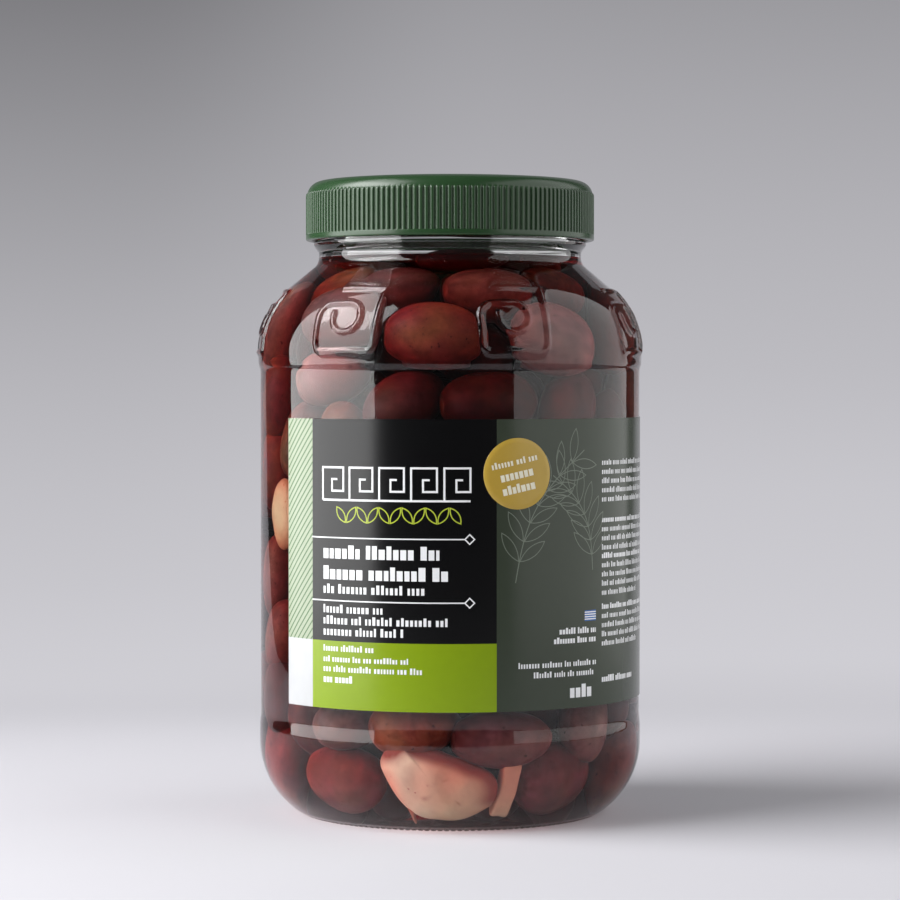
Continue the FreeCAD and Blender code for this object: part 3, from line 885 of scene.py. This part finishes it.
def olive_tones(points, length, colour, seed):
    """Base colour of each point: a paler cheek, streaks along it and a tan scar at the stem."""
    dice = np.random.default_rng(seed + 5000)
    side = unit(dice.normal(size=3))
    across = points @ side / (length / 2)
    light = 1 + 0.30 * across + 0.06 * np.sin(points[:, 0] * 0.6 + dice.uniform(0, 6))
    angle = np.arctan2(points[:, 2], points[:, 1])
    for lobes in dice.integers(3, 12, 5):
        drift = points[:, 0] * dice.uniform(-0.25, 0.25) + dice.uniform(0, 6)
        light += 0.055 * np.sin(lobes * angle + drift)
    tones = np.asarray(colour)[None, :] * light[:, None].clip(0.6, 1.5)
    for _ in range(int(dice.integers(0, 3))):
        spot = points[int(dice.integers(0, len(points)))]
        off = np.linalg.norm(points - spot, axis=1) / dice.uniform(0.8, 1.7)
        tones = tones * (1 - 0.6 * np.exp(-off ** 2))[:, None]
    stem = np.linalg.norm(points - np.array((-length / 2 + 0.6, 0, 0)), axis=1)
    scar = np.exp(-(stem / 1.5) ** 2)[:, None] * 0.75
    rim = np.exp(-((stem - 2.4) / 0.8) ** 2)[:, None] * 0.35
    tones = tones * (1 - rim)
    return tones * (1 - scar) + np.array((0.12, 0.060, 0.035))[None, :] * scar


def rotation_to(axis, spin):
    """Rows that carry X to an axis, then turned about it."""
    side = np.cross(axis, (0.0, 0.0, 1.0))
    if np.linalg.norm(side) < 1e-3:
        side = np.array((1.0, 0.0, 0.0))
    side = unit(side)
    top = np.cross(side, axis)
    c, s = math.cos(spin), math.sin(spin)
    return np.stack([axis, side * c + top * s, top * c - side * s])


def make_olives():
    count = OLIVE_COUNT
    shown = len(SHOWN)
    centres = np.zeros((count, 3))
    axes = np.zeros((count, 3))
    lengths = rng.uniform(24.5, 29.0, count)
    widths = lengths * rng.uniform(0.62, 0.69, count)
    colours = []
    for index, (turn, height, length, width, tilt, yaw, from_axis, colour) in enumerate(SHOWN):
        centres[index], axes[index] = placed(turn, height, from_axis, tilt, yaw)
        lengths[index] = length
        widths[index] = width
        colours.append(colour)
    for index in range(shown, count):
        angle = rng.uniform(0, 2 * math.pi)
        reach = 46.0 * math.sqrt(rng.uniform(0, 1))
        centres[index] = (reach * math.cos(angle), reach * math.sin(angle), rng.uniform(16, 163))
        axes[index] = unit(rng.normal(size=3) * (1.0, 1.0, 0.7))
        share = rng.dirichlet((0.5,) * len(SKINS))
        colours.append(tuple(np.array(SKINS).T @ share * rng.uniform(0.75, 1.2)))
    firm = np.arange(count) < shown
    homes = [(centres[index].copy(), axes[index].copy()) for index in range(shown)]
    centres, axes = settle(centres, axes, lengths, widths, firm, solid_spots())
    points, faces, tones = [], [], []
    base = 0
    for index in range(count):
        reach = math.hypot(centres[index][0], centres[index][1])
        floats = index < shown and SHOWN[index][1] > FLOATING
        if floats:
            centres[index], axes[index] = homes[index]
        near = reach > NEAR_GLASS or centres[index][2] > NEAR_TOP
        around, along = FINE if firm[index] else MEDIUM if near else COARSE
        shape, sides = olive_points(lengths[index], widths[index], around, along, 100 + index)
        # Painted shade: olives that are neither held in place nor near the glass get a darker base
        # colour
        painted_shade = 1.0 if firm[index] or near else PAINTED_DEEP_SHADE
        tones.append(olive_tones(shape, lengths[index], np.array(colours[index]) * painted_shade, index))
        turned = shape @ rotation_to(axes[index], rng.uniform(0, 2 * math.pi))
        settled = turned + centres[index]
        points.append(settled if floats else clear_of_glass(settled))
        faces.extend([tuple(base + i for i in face) for face in sides])
        base += len(shape)
    material = skin("olive_skin", 0.36, 1.16, (0.012, 0.005, 0.004), (0.66, 0.78), 0.40)
    olives = make_piece("olives", np.vstack(points), faces, [material], None, np.vstack(tones))
    hand_over(olives, "olives", "olives_in_brine")


# ---------------------------------------------------------------- clove and pale pieces

# Place of each piece: turn, height, distance from the axis, tilt in the wall's plane and lean of
# its top towards the glass. Outlines are (right, up) from that place, as seen from the front.
CLOVE = (-4.6, 15.4, 46.5, 0.0, 27.0)
CLOVE_OUTLINE = ((-11.2, 13.2), (-8.0, 11.2), (-2.0, 9.6), (5.0, 7.6), (12.0, 4.6), (16.6, 1.8),
                 (17.6, -2.2), (15.6, -7.0), (10.0, -10.2), (3.0, -11.4), (-5.0, -10.2), (-11.0, -5.8),
                 (-15.0, 1.0), (-16.4, 6.0), (-14.6, 10.2))
STICK = (20.2, 12.9, 47.0, 0.0, 24.0)
STICK_OUTLINE = ((-2.2, 8.2), (0.8, 8.3), (3.5, 7.9), (3.3, 3.5), (2.9, -0.6), (1.9, -4.6), (1.0, -8.1),
                 (-1.4, -7.9), (-4.0, -7.3), (-3.4, -3.4), (-2.8, 0.4), (-2.4, 4.4))
STICK_TONES = ((0.68, 0.64, 0.43), (0.44, 0.28, 0.19))
PALE_TONES = ((0.375, 0.31, 0.185), (0.30, 0.20, 0.10))
PALE = (-66.5, 95.2, 51.5, 0.0, 0.0)
PALE_OUTLINE = ((0.5, 11.2), (4.8, 9.0), (7.4, 4.0), (8.0, -1.0), (6.8, -6.5), (3.2, -10.2),
                (-1.2, -11.0), (-4.6, -7.6), (-6.8, -2.4), (-6.6, 3.6), (-4.0, 8.6))


def solid_spots():
    """Spheres that keep the olives off the clove and the pale pieces."""
    spots = []
    for place, outline, radius in ((CLOVE, CLOVE_OUTLINE, 5.5), (STICK, STICK_OUTLINE, 3.0),
                                   (PALE, PALE_OUTLINE, 5.0)):
        corners = np.array(outline)
        flat = np.stack([corners[:, 0], np.zeros(len(corners)), corners[:, 1]], axis=1)
        spots += [(point, radius) for point in into_place(flat * 0.6, *place)]
        spots += [(point, radius) for point in into_place(flat * 0.2, *place)[:4]]
    return spots


def smooth_loop(corners, per_side):
    """Points of a closed curve through corners."""
    corners = np.array(corners, float)
    count = len(corners)
    points = []
    for k in range(count):
        a, b, c, d = (corners[(k + off) % count] for off in (-1, 0, 1, 2))
        for t in np.arange(per_side) / per_side:
            points.append(0.5 * (2 * b + (c - a) * t + (2 * a - 5 * b + 4 * c - d) * t ** 2
                                 + (3 * b - a - 3 * c + d) * t ** 3))
    return np.array(points)


def pillow(outline, front, back, crown, rows=11):
    """A closed body that fills an outline: (points, share of the way to the edge, faces)."""
    middle = outline.mean(axis=0)
    count = len(outline)
    shares = np.sin(np.linspace(0, 1, rows + 1)[1:] * math.pi / 2)
    points = [(middle[0], front, middle[1])]
    reach = [0.0]
    faces = [(0, 1 + k, 1 + (k + 1) % count) for k in range(count)]
    rings = [(share, front) for share in shares] + [(share, -back) for share in shares[-2::-1]]
    for share, bulge in rings:
        depth = bulge * max(0.0, 1 - share ** crown) ** 0.6
        for u, v in middle + (outline - middle) * share:
            points.append((u, depth, v))
            reach.append(share)
    faces += band_faces(len(rings), count, 1)
    points.append((middle[0], -back, middle[1]))
    reach.append(0.0)
    last = 1 + (len(rings) - 1) * count
    faces += [(len(points) - 1, last + (k + 1) % count, last + k) for k in range(count)]
    return np.array(points), np.array(reach), faces


def relaxed(points, faces, rounds):
    """Points drawn towards their neighbours, which takes ridges off a body."""
    ends = np.array([(a, b) for face in faces for a, b in zip(face, face[1:] + face[:1])])
    for _ in range(rounds):
        total = np.zeros(points.shape)
        count = np.zeros(len(points))
        for first, second in (ends.T, ends.T[::-1]):
            np.add.at(total, first, points[second])
            np.add.at(count, first, 1)
        points = 0.5 * points + 0.5 * total / count[:, None]
    return points


def into_place(points, turn, height, from_axis, tilt, lean):
    """Moves points of (right, towards the glass, up) to their place in the jar."""
    right, outward, up = local_axes(turn)
    tilt = math.radians(tilt)
    lean = math.radians(lean)
    top = up * math.cos(lean) + outward * math.sin(lean)
    face = outward * math.cos(lean) - up * math.sin(lean)
    along = right * math.cos(tilt) + top * math.sin(tilt)
    rise = top * math.cos(tilt) - right * math.sin(tilt)
    middle = outward * from_axis + up * height
    return middle + points[:, :1] * along + points[:, 1:2] * face + points[:, 2:3] * rise


def uneven(points, seed, size):
    """Gentle waves over a body's surface."""
    dice = np.random.default_rng(seed)
    moved = points.copy()
    for _ in range(6):
        wave = dice.normal(size=3) * 0.4
        moved[:, 1] += size * np.sin(points @ wave + dice.uniform(0, 6))
        moved[:, 2] += size * 0.5 * np.sin(points @ wave[::-1] + dice.uniform(0, 6))
    return moved


def ramp(values, low, high):
    """0 below low, 1 above high and smooth between."""
    share = np.clip((values - low) / (high - low), 0, 1)
    return share * share * (3 - 2 * share)


def blend_tones(first, second, share):
    return np.asarray(first) * (1 - share[:, None]) + np.asarray(second) * share[:, None]


def make_clove():
    points, reach, faces = pillow(smooth_loop(CLOVE_OUTLINE, 6), 4.6, 7.0, 2.2, 14)
    points = uneven(relaxed(points, faces, 6), 31, 0.16)
    way = np.arctan2(points[:, 2], points[:, 0])
    upper = ramp(np.sin(way + 0.25), 0.05, 0.55)
    right_end = ramp(np.cos(way), 0.86, 0.97)
    edge = ramp(reach, 0.60, 0.94)
    near_tip = ramp(-points[:, 0] + points[:, 2], 19.0, 24.0)
    share = np.clip(edge * np.maximum(upper, right_end) + 0.6 * near_tip, 0, 1)
    # Painted against the light: the left part gets a paler, greener tone that offsets the red light
    # reaching it through the brine
    tones = blend_tones((0.60, 0.49, 0.32), (0.78, 0.92, 0.68), ramp(-points[:, 0], -3.0, 9.0))
    tones = blend_tones(tones, (0.25, 0.075, 0.055), share)
    for spot, radius in (((-2.9, -2.9), 1.1), ((-1.0, 1.6), 0.8), ((6.2, -4.3), 0.5), ((3.0, 2.8), 0.6)):
        off = np.hypot(points[:, 0] - spot[0], (points[:, 2] - spot[1]) * 1.8)
        tones = blend_tones(tones, (0.26, 0.12, 0.055), 0.65 * np.exp(-(off / radius) ** 2))
    points = clear_of_glass(into_place(points, *CLOVE))
    # The stub of root under the clove
    stub, _, stub_faces = pillow(smooth_loop(((-0.9, 0.0), (-1.2, 2.4), (1.1, 2.4), (0.5, -0.6),
                                              (0.2, -3.2), (-0.4, -3.0)), 4), 0.9, 0.9, 2.4, 5)
    stub = into_place(stub, CLOVE[0] - 9.5, 8.2, 42.6, 6.0, 40.0)
    faces += [tuple(len(points) + i for i in face) for face in stub_faces]
    tones = np.vstack([tones, np.tile((0.40, 0.20, 0.13), (len(stub), 1))])
    points = np.vstack([points, stub])
    material = skin("clove_flesh", 0.4, 1.12, (0.30, 0.14, 0.07), (0.70, 0.78), 0.06)
    clove = make_piece("garlic_clove", points, faces, [material], None, tones)
    hand_over(clove, "olives", "olives_in_brine")


def make_cut_piece(name, outline, place, bulges, tones):
    """A pale cut piece with a darker rim and foot."""
    points, reach, faces = pillow(smooth_loop(outline, 5), *bulges)
    points = uneven(points, 47, 0.06)
    share = np.maximum(ramp(reach, 0.8, 1.0), ramp(-points[:, 2], 1.0, 9.0))
    tones = blend_tones(*tones, 0.7 * share)
    points = clear_of_glass(into_place(points, *place))
    material = skin(name + "_flesh", 0.45, 1.12, (0.30, 0.15, 0.08), (0.68, 0.76), 0.08)
    piece = make_piece(name, points, faces, [material], None, tones)
    hand_over(piece, "olives", "olives_in_brine")


# ---------------------------------------------------------------- label

def arc_length(turn, radius=LABEL_RADIUS):
    """Distance round the label from the front, in millimetres."""
    return math.radians(turn) * radius


def wrapped(s, z, radius):
    """A point of the flat label, laid on the jar."""
    angle = s / LABEL_RADIUS
    return (radius * math.sin(angle), -radius * math.cos(angle), z)


class Print:
    """Flat shapes laid on the label, each with a colour's number."""

    def __init__(self, radius):
        self.radius = radius
        self.points = []
        self.faces = []
        self.colours = []

    def shape(self, corners, colour):
        start = len(self.points)
        self.points.extend(wrapped(s, z, self.radius) for s, z in corners)
        self.faces.append(tuple(range(start, start + len(corners))))
        self.colours.append(colour)

    def bar(self, s0, s1, z0, z1, colour):
        """An upright rectangle, cut into narrow strips so that it follows the jar."""
        count = max(1, math.ceil((s1 - s0) / 1.2))
        edges = np.linspace(s0, s1, count + 1)
        for left, right in zip(edges, edges[1:]):
            self.shape([(left, z0), (right, z0), (right, z1), (left, z1)], colour)

    def stroke(self, path, width, colour, closed=False):
        """A line of even width along a path."""
        path = np.array(path, float)
        if closed:
            path = np.vstack([path, path[:1]])
        spaced = [path[0]]
        for start, end in zip(path, path[1:]):
            count = max(1, math.ceil(abs(end[0] - start[0]) / 1.2))
            spaced.extend(start + (end - start) * k / count for k in range(1, count + 1))
        spaced = np.array(spaced)
        ways = np.diff(spaced, axis=0)
        ways /= np.linalg.norm(ways, axis=1)[:, None]
        if closed:
            before = np.vstack([ways[-1:], ways])
            after = np.vstack([ways, ways[:1]])
        else:
            before = np.vstack([ways[:1], ways])
            after = np.vstack([ways, ways[-1:]])
        mean = before + after
        mean /= np.linalg.norm(mean, axis=1)[:, None]
        stretch = 1 / np.maximum((mean * after).sum(axis=1), 0.35)
        normal = np.stack([-mean[:, 1], mean[:, 0]], axis=1) * (stretch * width / 2)[:, None]
        left = spaced + normal
        right = spaced - normal
        for k in range(len(spaced) - 1):
            self.shape([right[k], right[k + 1], left[k + 1], left[k]], colour)

    def letters(self, s0, s1, z0, z1, colour, bold=False, seed=1, turn=None):
        """A line of plain blocks in word-like groups, which stands for a line of print."""
        dice = np.random.default_rng(seed)
        tall = z1 - z0
        s = s0
        left = int(dice.integers(3, 9))
        while s < s1 - 0.2 * tall:
            width = tall * dice.uniform(0.30, 0.46) * (1.15 if bold else 0.85)
            width = min(width, s1 - s)
            height = tall * (1.0 if dice.random() < 0.28 else 0.74)
            corners = [(s, z0), (s + width, z0), (s + width, z0 + height), (s, z0 + height)]
            if turn:
                corners = [turn(point) for point in corners]
            self.shape(corners, colour)
            s += width + tall * (0.13 if bold else 0.20)
            left -= 1
            if left == 0:
                s += tall * 0.38
                left = int(dice.integers(3, 9))


def film(points, faces, colours, start, end, low, high, colour):
    """A curved slab of film between two turns and two heights."""
    count = max(2, math.ceil((end - start) / 1.5))
    base = len(points)
    for turn in np.linspace(start, end, count + 1):
        s = arc_length(turn)
        for radius in (LABEL_RADIUS, FILM_INNER_RADIUS):
            for z in (low, high):
                points.append(wrapped(s, z, radius))
    for k in range(count):
        a = base + 4 * k
        b = a + 4
        faces.append((a, b, b + 1, a + 1))
        faces.append((a + 2, a + 3, b + 3, b + 2))
        faces.append((a + 1, b + 1, b + 3, a + 3))
        faces.append((a, a + 2, b + 2, b))
        colours.extend([colour] * 4)
    first = base
    final = base + 4 * count
    faces.append((first, first + 1, first + 3, first + 2))
    faces.append((final, final + 2, final + 3, final + 1))
    colours.extend([colour] * 2)


INKS = (
    ("white", (0.86, 0.87, 0.88)),
    ("black", (0.0025, 0.0025, 0.0028)),
    ("grey_green", (0.040, 0.052, 0.034)),
    ("lime", (0.225, 0.335, 0.004)),
    ("pale_green", (0.31, 0.37, 0.255)),
    ("deep_green", (0.06, 0.13, 0.05)),
    ("leaf", (0.42, 0.50, 0.05)),
    ("blue", (0.03, 0.13, 0.42)),
    ("sprig", (0.17, 0.20, 0.155)),
    ("box_white", (0.50, 0.51, 0.52)),
)
WHITE, BLACK, GREY_GREEN, LIME, PALE_GREEN, DEEP_GREEN, LEAF, FLAG_BLUE, SPRIG, BOX_WHITE = range(10)


def label_materials():
    return [plastic("label_" + name, tone, 0.22, 1.42, 0.04, 300.0) for name, tone in INKS]


def make_label(materials):
    points, faces, colours = [], [], []
    fields = (
        (LABEL_START, STRIP_END, BAND_TOP, LABEL_TOP, PALE_GREEN),
        (LABEL_START, STRIP_END, LABEL_BOTTOM, BAND_TOP, BOX_WHITE),
        (STRIP_END, BLACK_END, BAND_TOP, LABEL_TOP, BLACK),
        (STRIP_END, BLACK_END, LABEL_BOTTOM, BAND_TOP, LIME),
        (BLACK_END, LABEL_END, LABEL_BOTTOM, LABEL_TOP, GREY_GREEN),
    )
    for start, end, low, high, colour in fields:
        film(points, faces, colours, start, end, low, high, colour)
    label = make_piece("label_film", points, faces, materials, colours)
    label.data.set_sharp_from_angle(angle=math.radians(FILM_SHARP_FROM))
    hand_over(label, "label_film", "label")


def hatch(sheet):
    """Slanting lines on the strip at the label's left edge."""
    left = arc_length(LABEL_START) + 0.3
    right = arc_length(STRIP_END)
    rise = (right - left) * math.tan(math.radians(50))
    z = BAND_TOP - rise + 1.0
    while z < LABEL_TOP - 0.5:
        low_share = max(0.0, (BAND_TOP - z) / rise)
        high_share = min(1.0, (LABEL_TOP - z) / rise)
        if high_share > low_share:
            ends = [(left + (right - left) * k, z + rise * k) for k in (low_share, high_share)]
            sheet.stroke(ends, 0.36, DEEP_GREEN)
        z += 2.4


def key_frieze(sheet, start, end, low, high, colour):
    """A running Greek key of thin lines."""
    s0, s1 = arc_length(start), arc_length(end)
    count = 5
    pitch = (s1 - s0) / count
    tall = high - low
    unit_path = ((0.0, 0.0), (0.0, 1.0), (0.78, 1.0), (0.78, 0.28), (0.36, 0.28), (0.36, 0.64),
                 (0.56, 0.64))
    for index in range(count):
        left = s0 + index * pitch
        path = [(left + u * pitch, low + v * tall) for u, v in unit_path]
        sheet.stroke(path, 0.62, colour)
        foot = [(left, low), (left + pitch * (1.0 if index < count - 1 else 0.78), low)]
        sheet.stroke(foot, 0.62, colour)


def lozenge(centre, half_s, half_z):
    s, z = centre
    return [(s - half_s, z), (s, z - half_z), (s + half_s, z), (s, z + half_z)]


def leaf_shape(centre, length, width, angle, steps=9):
    """Outline of a pointed leaf."""
    s, z = centre
    c, d = math.cos(angle), math.sin(angle)
    upper, lower = [], []
    for k in range(steps):
        t = k / (steps - 1)
        along = (t - 0.5) * length
        half = width / 2 * math.sin(math.pi * t) ** 0.8
        upper.append((s + along * c - half * d, z + along * d + half * c))
        lower.append((s + along * c + half * d, z + along * d - half * c))
    return upper + lower[::-1][1:-1]


def leaf_row(sheet):
    """A row of slanting leaves."""
    s0, s1 = arc_length(-34.7), arc_length(3.3)
    count = 11
    for index in range(count):
        s = s0 + (s1 - s0) * (index + 0.5) / count
        angle = math.radians(56 if index % 2 else -56)
        sheet.stroke(leaf_shape((s, 96.2), 5.6, 2.3, angle), 0.36, LEAF, True)


def sprig(sheet):
    """Two faint arching twigs of paired narrow leaves on the grey-green panel."""
    for base, top, bow in (((19.0, 76.0), (42.5, 115.5), 6.0), ((46.0, 79.0), (31.0, 108.0), -5.0)):
        start = np.array((arc_length(base[0]), base[1]))
        end = np.array((arc_length(top[0]), top[1]))
        way = (end - start) / np.linalg.norm(end - start)
        across = np.array((-way[1], way[0]))
        stem = [start + (end - start) * t + across * bow * math.sin(math.pi * t)
                for t in np.linspace(0, 1, 25)]
        sheet.stroke(stem, 0.30, SPRIG)
        for k in range(3, 24, 3):
            heading = math.atan2(stem[k][1] - stem[k - 1][1], stem[k][0] - stem[k - 1][0])
            for lean in (0.75, -0.75):
                angle = heading + lean
                middle = stem[k] + np.array((math.cos(angle), math.sin(angle))) * 5.4
                sheet.stroke(leaf_shape(middle, 10.0, 3.0, angle, 11), 0.25, SPRIG, True)


def flag(sheet):
    """The striped flag of the country of origin."""
    s0, s1 = arc_length(42.7), arc_length(MARGIN_TURN)
    low, high = 63.6, 66.8
    stripe = (high - low) / 9
    for index in range(9):
        colour = FLAG_BLUE if index % 2 == 0 else WHITE
        sheet.bar(s0, s1, low + index * stripe, low + (index + 1) * stripe, colour)


def text_block(sheet, s0, s1, top, lines, colour, seed):
    """Lines of print, each (height, share of the width, bold, gap under it), from the top down."""
    z = top
    for index, (tall, share, bold, gap) in enumerate(lines):
        sheet.letters(s0, s0 + (s1 - s0) * share, z - tall, z, colour, bold, seed + index)
        z -= tall + gap


def right_aligned(sheet, lines, seed):
    end = arc_length(MARGIN_TURN)
    for index, (low, high, length, bold) in enumerate(lines):
        sheet.letters(end - length, end, low, high, WHITE, bold, seed + index)


def make_print(materials):
    sheet = Print(LABEL_RADIUS + PRINT_LIFT)
    hatch(sheet)
    rule_start = arc_length(STRIP_END)
    for height in (89.2, 70.2):
        tip = arc_length(5.6)
        sheet.bar(rule_start, tip - 1.5, height - 0.19, height + 0.19, WHITE)
        sheet.stroke(lozenge((tip, height), 1.45, 1.45), 0.38, WHITE, True)
    key_frieze(sheet, -39.6, 7.9, 100.6, 110.4, WHITE)
    leaf_row(sheet)
    sprig(sheet)
    left = arc_length(-39.4)
    # Lines of print on the front: foot, head, turn of the line's end, bold
    front_lines = (
        (82.9, 87.0, -3.0, True), (76.6, 80.7, 0.2, True), (72.4, 75.2, -6.4, False),
        (66.5, 69.0, -18.0, False), (63.1, 65.6, 0.0, False), (59.7, 62.2, -13.0, False),
        (54.9, 56.8, -22.0, False), (51.7, 53.5, -12.0, False), (48.7, 50.6, -7.5, False),
        (45.4, 47.6, -28.0, True),
    )
    for index, (low, high, end, bold) in enumerate(front_lines):
        sheet.letters(left, arc_length(end), low, high, WHITE, bold, 40 + index)
    flag(sheet)
    # Foot, head, length, bold
    right_aligned(sheet, (
        (60.0, 61.9, 15.0, True), (57.2, 59.1, 17.0, True), (50.2, 52.0, 29.0, False),
        (47.2, 49.0, 24.0, False), (40.6, 44.6, 11.0, True)), 70)
    column = arc_length(50.3)
    paragraph = ((1.7, 1.0, False, 1.1),) * 5
    short = ((1.7, 0.8, True, 1.1),) + ((1.7, 1.0, False, 1.1),) * 3 + ((1.7, 0.6, False, 1.1),)
    tops = (112.5, 95.0, 84.0, 68.5)
    blocks = (paragraph, short[:4], short, short)
    for index, (top, block) in enumerate(zip(tops, blocks)):
        text_block(sheet, column, column + 42.0, top, block, WHITE, 90 + 10 * index)
    text_block(sheet, column, column + 20.0, 46.5, ((2.0, 1.0, True, 1.0),), WHITE, 140)
    printed = make_piece("label_print", sheet.points, sheet.faces, materials, sheet.colours)
    hand_over(printed, "label_film")


def make_seal():
    centre = arc_length(SEAL_TURN)
    inner = LABEL_RADIUS + 0.01
    outer = LABEL_RADIUS + SEAL_THICKNESS
    points = []
    around = 96
    circles = (3.0, 6.0, 9.0, SEAL_RADIUS - 0.12, SEAL_RADIUS)
    for radius in circles:
        lift = outer if radius < SEAL_RADIUS else inner
        for k in range(around):
            angle = 2 * math.pi * k / around
            s = centre + radius * math.cos(angle)
            z = SEAL_HEIGHT + radius * math.sin(angle)
            points.append(wrapped(s, z, lift))
    faces = band_faces(len(circles), around) + [tuple(range(around))]
    foil = plastic("seal_gold", (0.50, 0.33, 0.050), 0.26, 1.45, 0.05, 500.0)
    hand_over(make_piece("seal_foil", points, faces, [foil]), "seal_foil", "round_seal")
    # Plain blocks in three tilted lines stand for its wording
    sheet = Print(outer + PRINT_LIFT)
    tilt = math.radians(SEAL_TILT)

    def tilted(point):
        u, v = point
        return (centre + u * math.cos(tilt) - v * math.sin(tilt),
                SEAL_HEIGHT + u * math.sin(tilt) + v * math.cos(tilt))

    for low, high, half, bold, seed in ((2.7, 4.7, 7.6, False, 3), (-1.5, 1.3, 5.6, True, 4),
                                        (-5.6, -2.9, 5.8, True, 5)):
        sheet.letters(-half, half, low, high, 0, bold, seed, tilted)
    cream = plastic("seal_print", (0.87, 0.83, 0.66), 0.3, 1.45, 0.03)
    wording = make_piece("seal_print", sheet.points, sheet.faces, [cream], sheet.colours)
    hand_over(wording, "seal_foil")


# ---------------------------------------------------------------- studio

def colour_ramp(material, value, stops):
    """A ramp over a value from 0 to 1; stops are (place, brightness)."""
    ramp = add(material, "ShaderNodeValToRGB")
    elements = ramp.color_ramp.elements
    while len(elements) < len(stops):
        elements.new(0.5)
    for element, (place, grey) in zip(elements, stops):
        element.position = place
        element.color = (grey, grey * 0.988, grey * 1.05, 1.0)
    wire(material, value, ramp.inputs["Fac"])
    return ramp.outputs["Color"]


def fade(material, value, start, end):
    """A smooth step from 0 to 1 between two values."""
    step = add(material, "ShaderNodeMapRange", From_Min=start, From_Max=end)
    step.interpolation_type = "SMOOTHSTEP"
    wire(material, value, step.inputs["Value"])
    return step.outputs["Result"]


def sweep_material():
    """Matt floor, painted lighter towards the back, that fades into a glowing backdrop whose brightness
    depends on the place only: painted light that fades upwards, most of all on the left.
    """
    material = new_material("studio_sweep")
    geometry = add(material, "ShaderNodeNewGeometry")
    parts = add(material, "ShaderNodeSeparateXYZ")
    wire(material, geometry.outputs["Position"], parts.inputs["Vector"])
    height = remap(material, parts.outputs["Z"], 0.0, 1.0, 0.0, 0.4)
    # Painted light on the glowing backdrop: darker upwards, and darker still on the left
    right = colour_ramp(material, height, (
        (0.0, 0.61), (0.0225, 0.624), (0.09, 0.60), (0.20, 0.571), (0.35, 0.508),
        (0.535, 0.455), (0.75, 0.385), (0.92, 0.325)))
    left = colour_ramp(material, height, (
        (0.0, 0.65), (0.0225, 0.617), (0.09, 0.575), (0.20, 0.53), (0.35, 0.462),
        (0.535, 0.372), (0.75, 0.275), (0.92, 0.208)))
    across = fade(material, parts.outputs["X"], -0.20, 0.03)
    both = colour_mix(material, across)
    wire(material, left, both.inputs[6])
    wire(material, right, both.inputs[7])
    glow = add(material, "ShaderNodeEmission")
    wire(material, both.outputs[2], glow.inputs["Color"])
    matt = add(material, "ShaderNodeBsdfDiffuse")
    # Painted light: the floor's colour grows lighter towards the back
    near = remap(material, parts.outputs["Y"], 0.0, 1.0, -0.08, 0.22)
    painted_light_albedo = colour_ramp(material, near, ((0.0, 0.615), (0.45, 0.66), (1.0, 0.70)))
    wire(material, painted_light_albedo, matt.inputs["Color"])
    back = fade(material, parts.outputs["Y"], 0.16, 0.42)
    front = shader_mix(material, back, matt.outputs["BSDF"], glow.outputs["Emission"])
    # From behind it is clear, so that it never hides the jar
    behind = add(material, "ShaderNodeBsdfTransparent")
    sides = shader_mix(material, geometry.outputs["Backfacing"], front, behind.outputs["BSDF"])
    finish_surface(material, sides)
    return material


def make_sweep():
    profile = [(-FLOOR_FRONT, 0.0), (0.0, 0.0), (SWEEP_START, 0.0)]
    for degrees in range(5, 91, 5):
        angle = math.radians(degrees)
        profile.append((SWEEP_START + SWEEP_RADIUS * math.sin(angle),
                        SWEEP_RADIUS * (1 - math.cos(angle))))
    profile.append((SWEEP_START + SWEEP_RADIUS, 2.2))
    points, faces = [], []
    for y, z in profile:
        points.append((-SWEEP_HALF_WIDTH / MM, y / MM, z / MM))
        points.append((SWEEP_HALF_WIDTH / MM, y / MM, z / MM))
    for k in range(len(profile) - 1):
        faces.append((2 * k, 2 * k + 1, 2 * k + 3, 2 * k + 2))
    sweep = make_piece("studio_sweep", points, faces, [sweep_material()])


def area_lamp(name, centre, width, height, radiance):
    """A rectangular soft box that looks level across the jar; its face's brightness sets its power."""
    data = bpy.data.lights.new(name, "AREA")
    data.shape = "RECTANGLE"
    data.size = width
    data.size_y = height
    data.energy = radiance * math.pi * width * height
    lamp = bpy.data.objects.new(name, data)
    bpy.context.scene.collection.objects.link(lamp)
    lamp.location = centre
    target = Vector((0.0, centre[1], centre[2]))
    lamp.rotation_euler = (target - Vector(centre)).to_track_quat("-Z", "Y").to_euler()


def studio_world():
    """A dim room that the camera sees as the backdrop's pale grey."""
    world = bpy.data.worlds.new("studio_room")
    world.use_nodes = True
    world.node_tree.nodes.clear()
    world.node_tree.nodes.new("ShaderNodeOutputWorld")
    room = add(world, "ShaderNodeBackground", Color=ROOM_LIGHT)
    pale = add(world, "ShaderNodeBackground", Color=ROOM_SEEN)
    path = add(world, "ShaderNodeLightPath")
    sky = shader_mix(world, path.outputs["Is Camera Ray"], room.outputs["Background"],
                     pale.outputs["Background"])
    wire(world, sky, world.node_tree.nodes["World Output"].inputs["Surface"])
    return world


def make_studio():
    make_sweep()
    for softbox in SOFTBOXES:
        area_lamp(*softbox)
    bpy.context.scene.world = studio_world()
    data = bpy.data.cameras.new("camera")
    data.lens = CAMERA_LENS
    camera = bpy.data.objects.new("camera", data)
    bpy.context.scene.collection.objects.link(camera)
    camera.location = (0.0, -CAMERA_DISTANCE, CAMERA_HEIGHT)
    camera.rotation_euler = (math.radians(90.0 - CAMERA_DROP), 0.0, 0.0)
    bpy.context.scene.camera = camera
    bpy.context.scene.view_settings.view_transform = "Standard"


make_jar()
make_lid()
make_brine()
make_bubbles()
make_olives()
make_clove()
make_cut_piece("pale_stick", STICK_OUTLINE, STICK, (2.2, 2.6, 9.0), STICK_TONES)
make_cut_piece("pale_piece", PALE_OUTLINE, PALE, (4.5, 5.0, 2.4), PALE_TONES)
film_colours = label_materials()
make_label(film_colours)
make_print(film_colours)
make_seal()
make_studio()
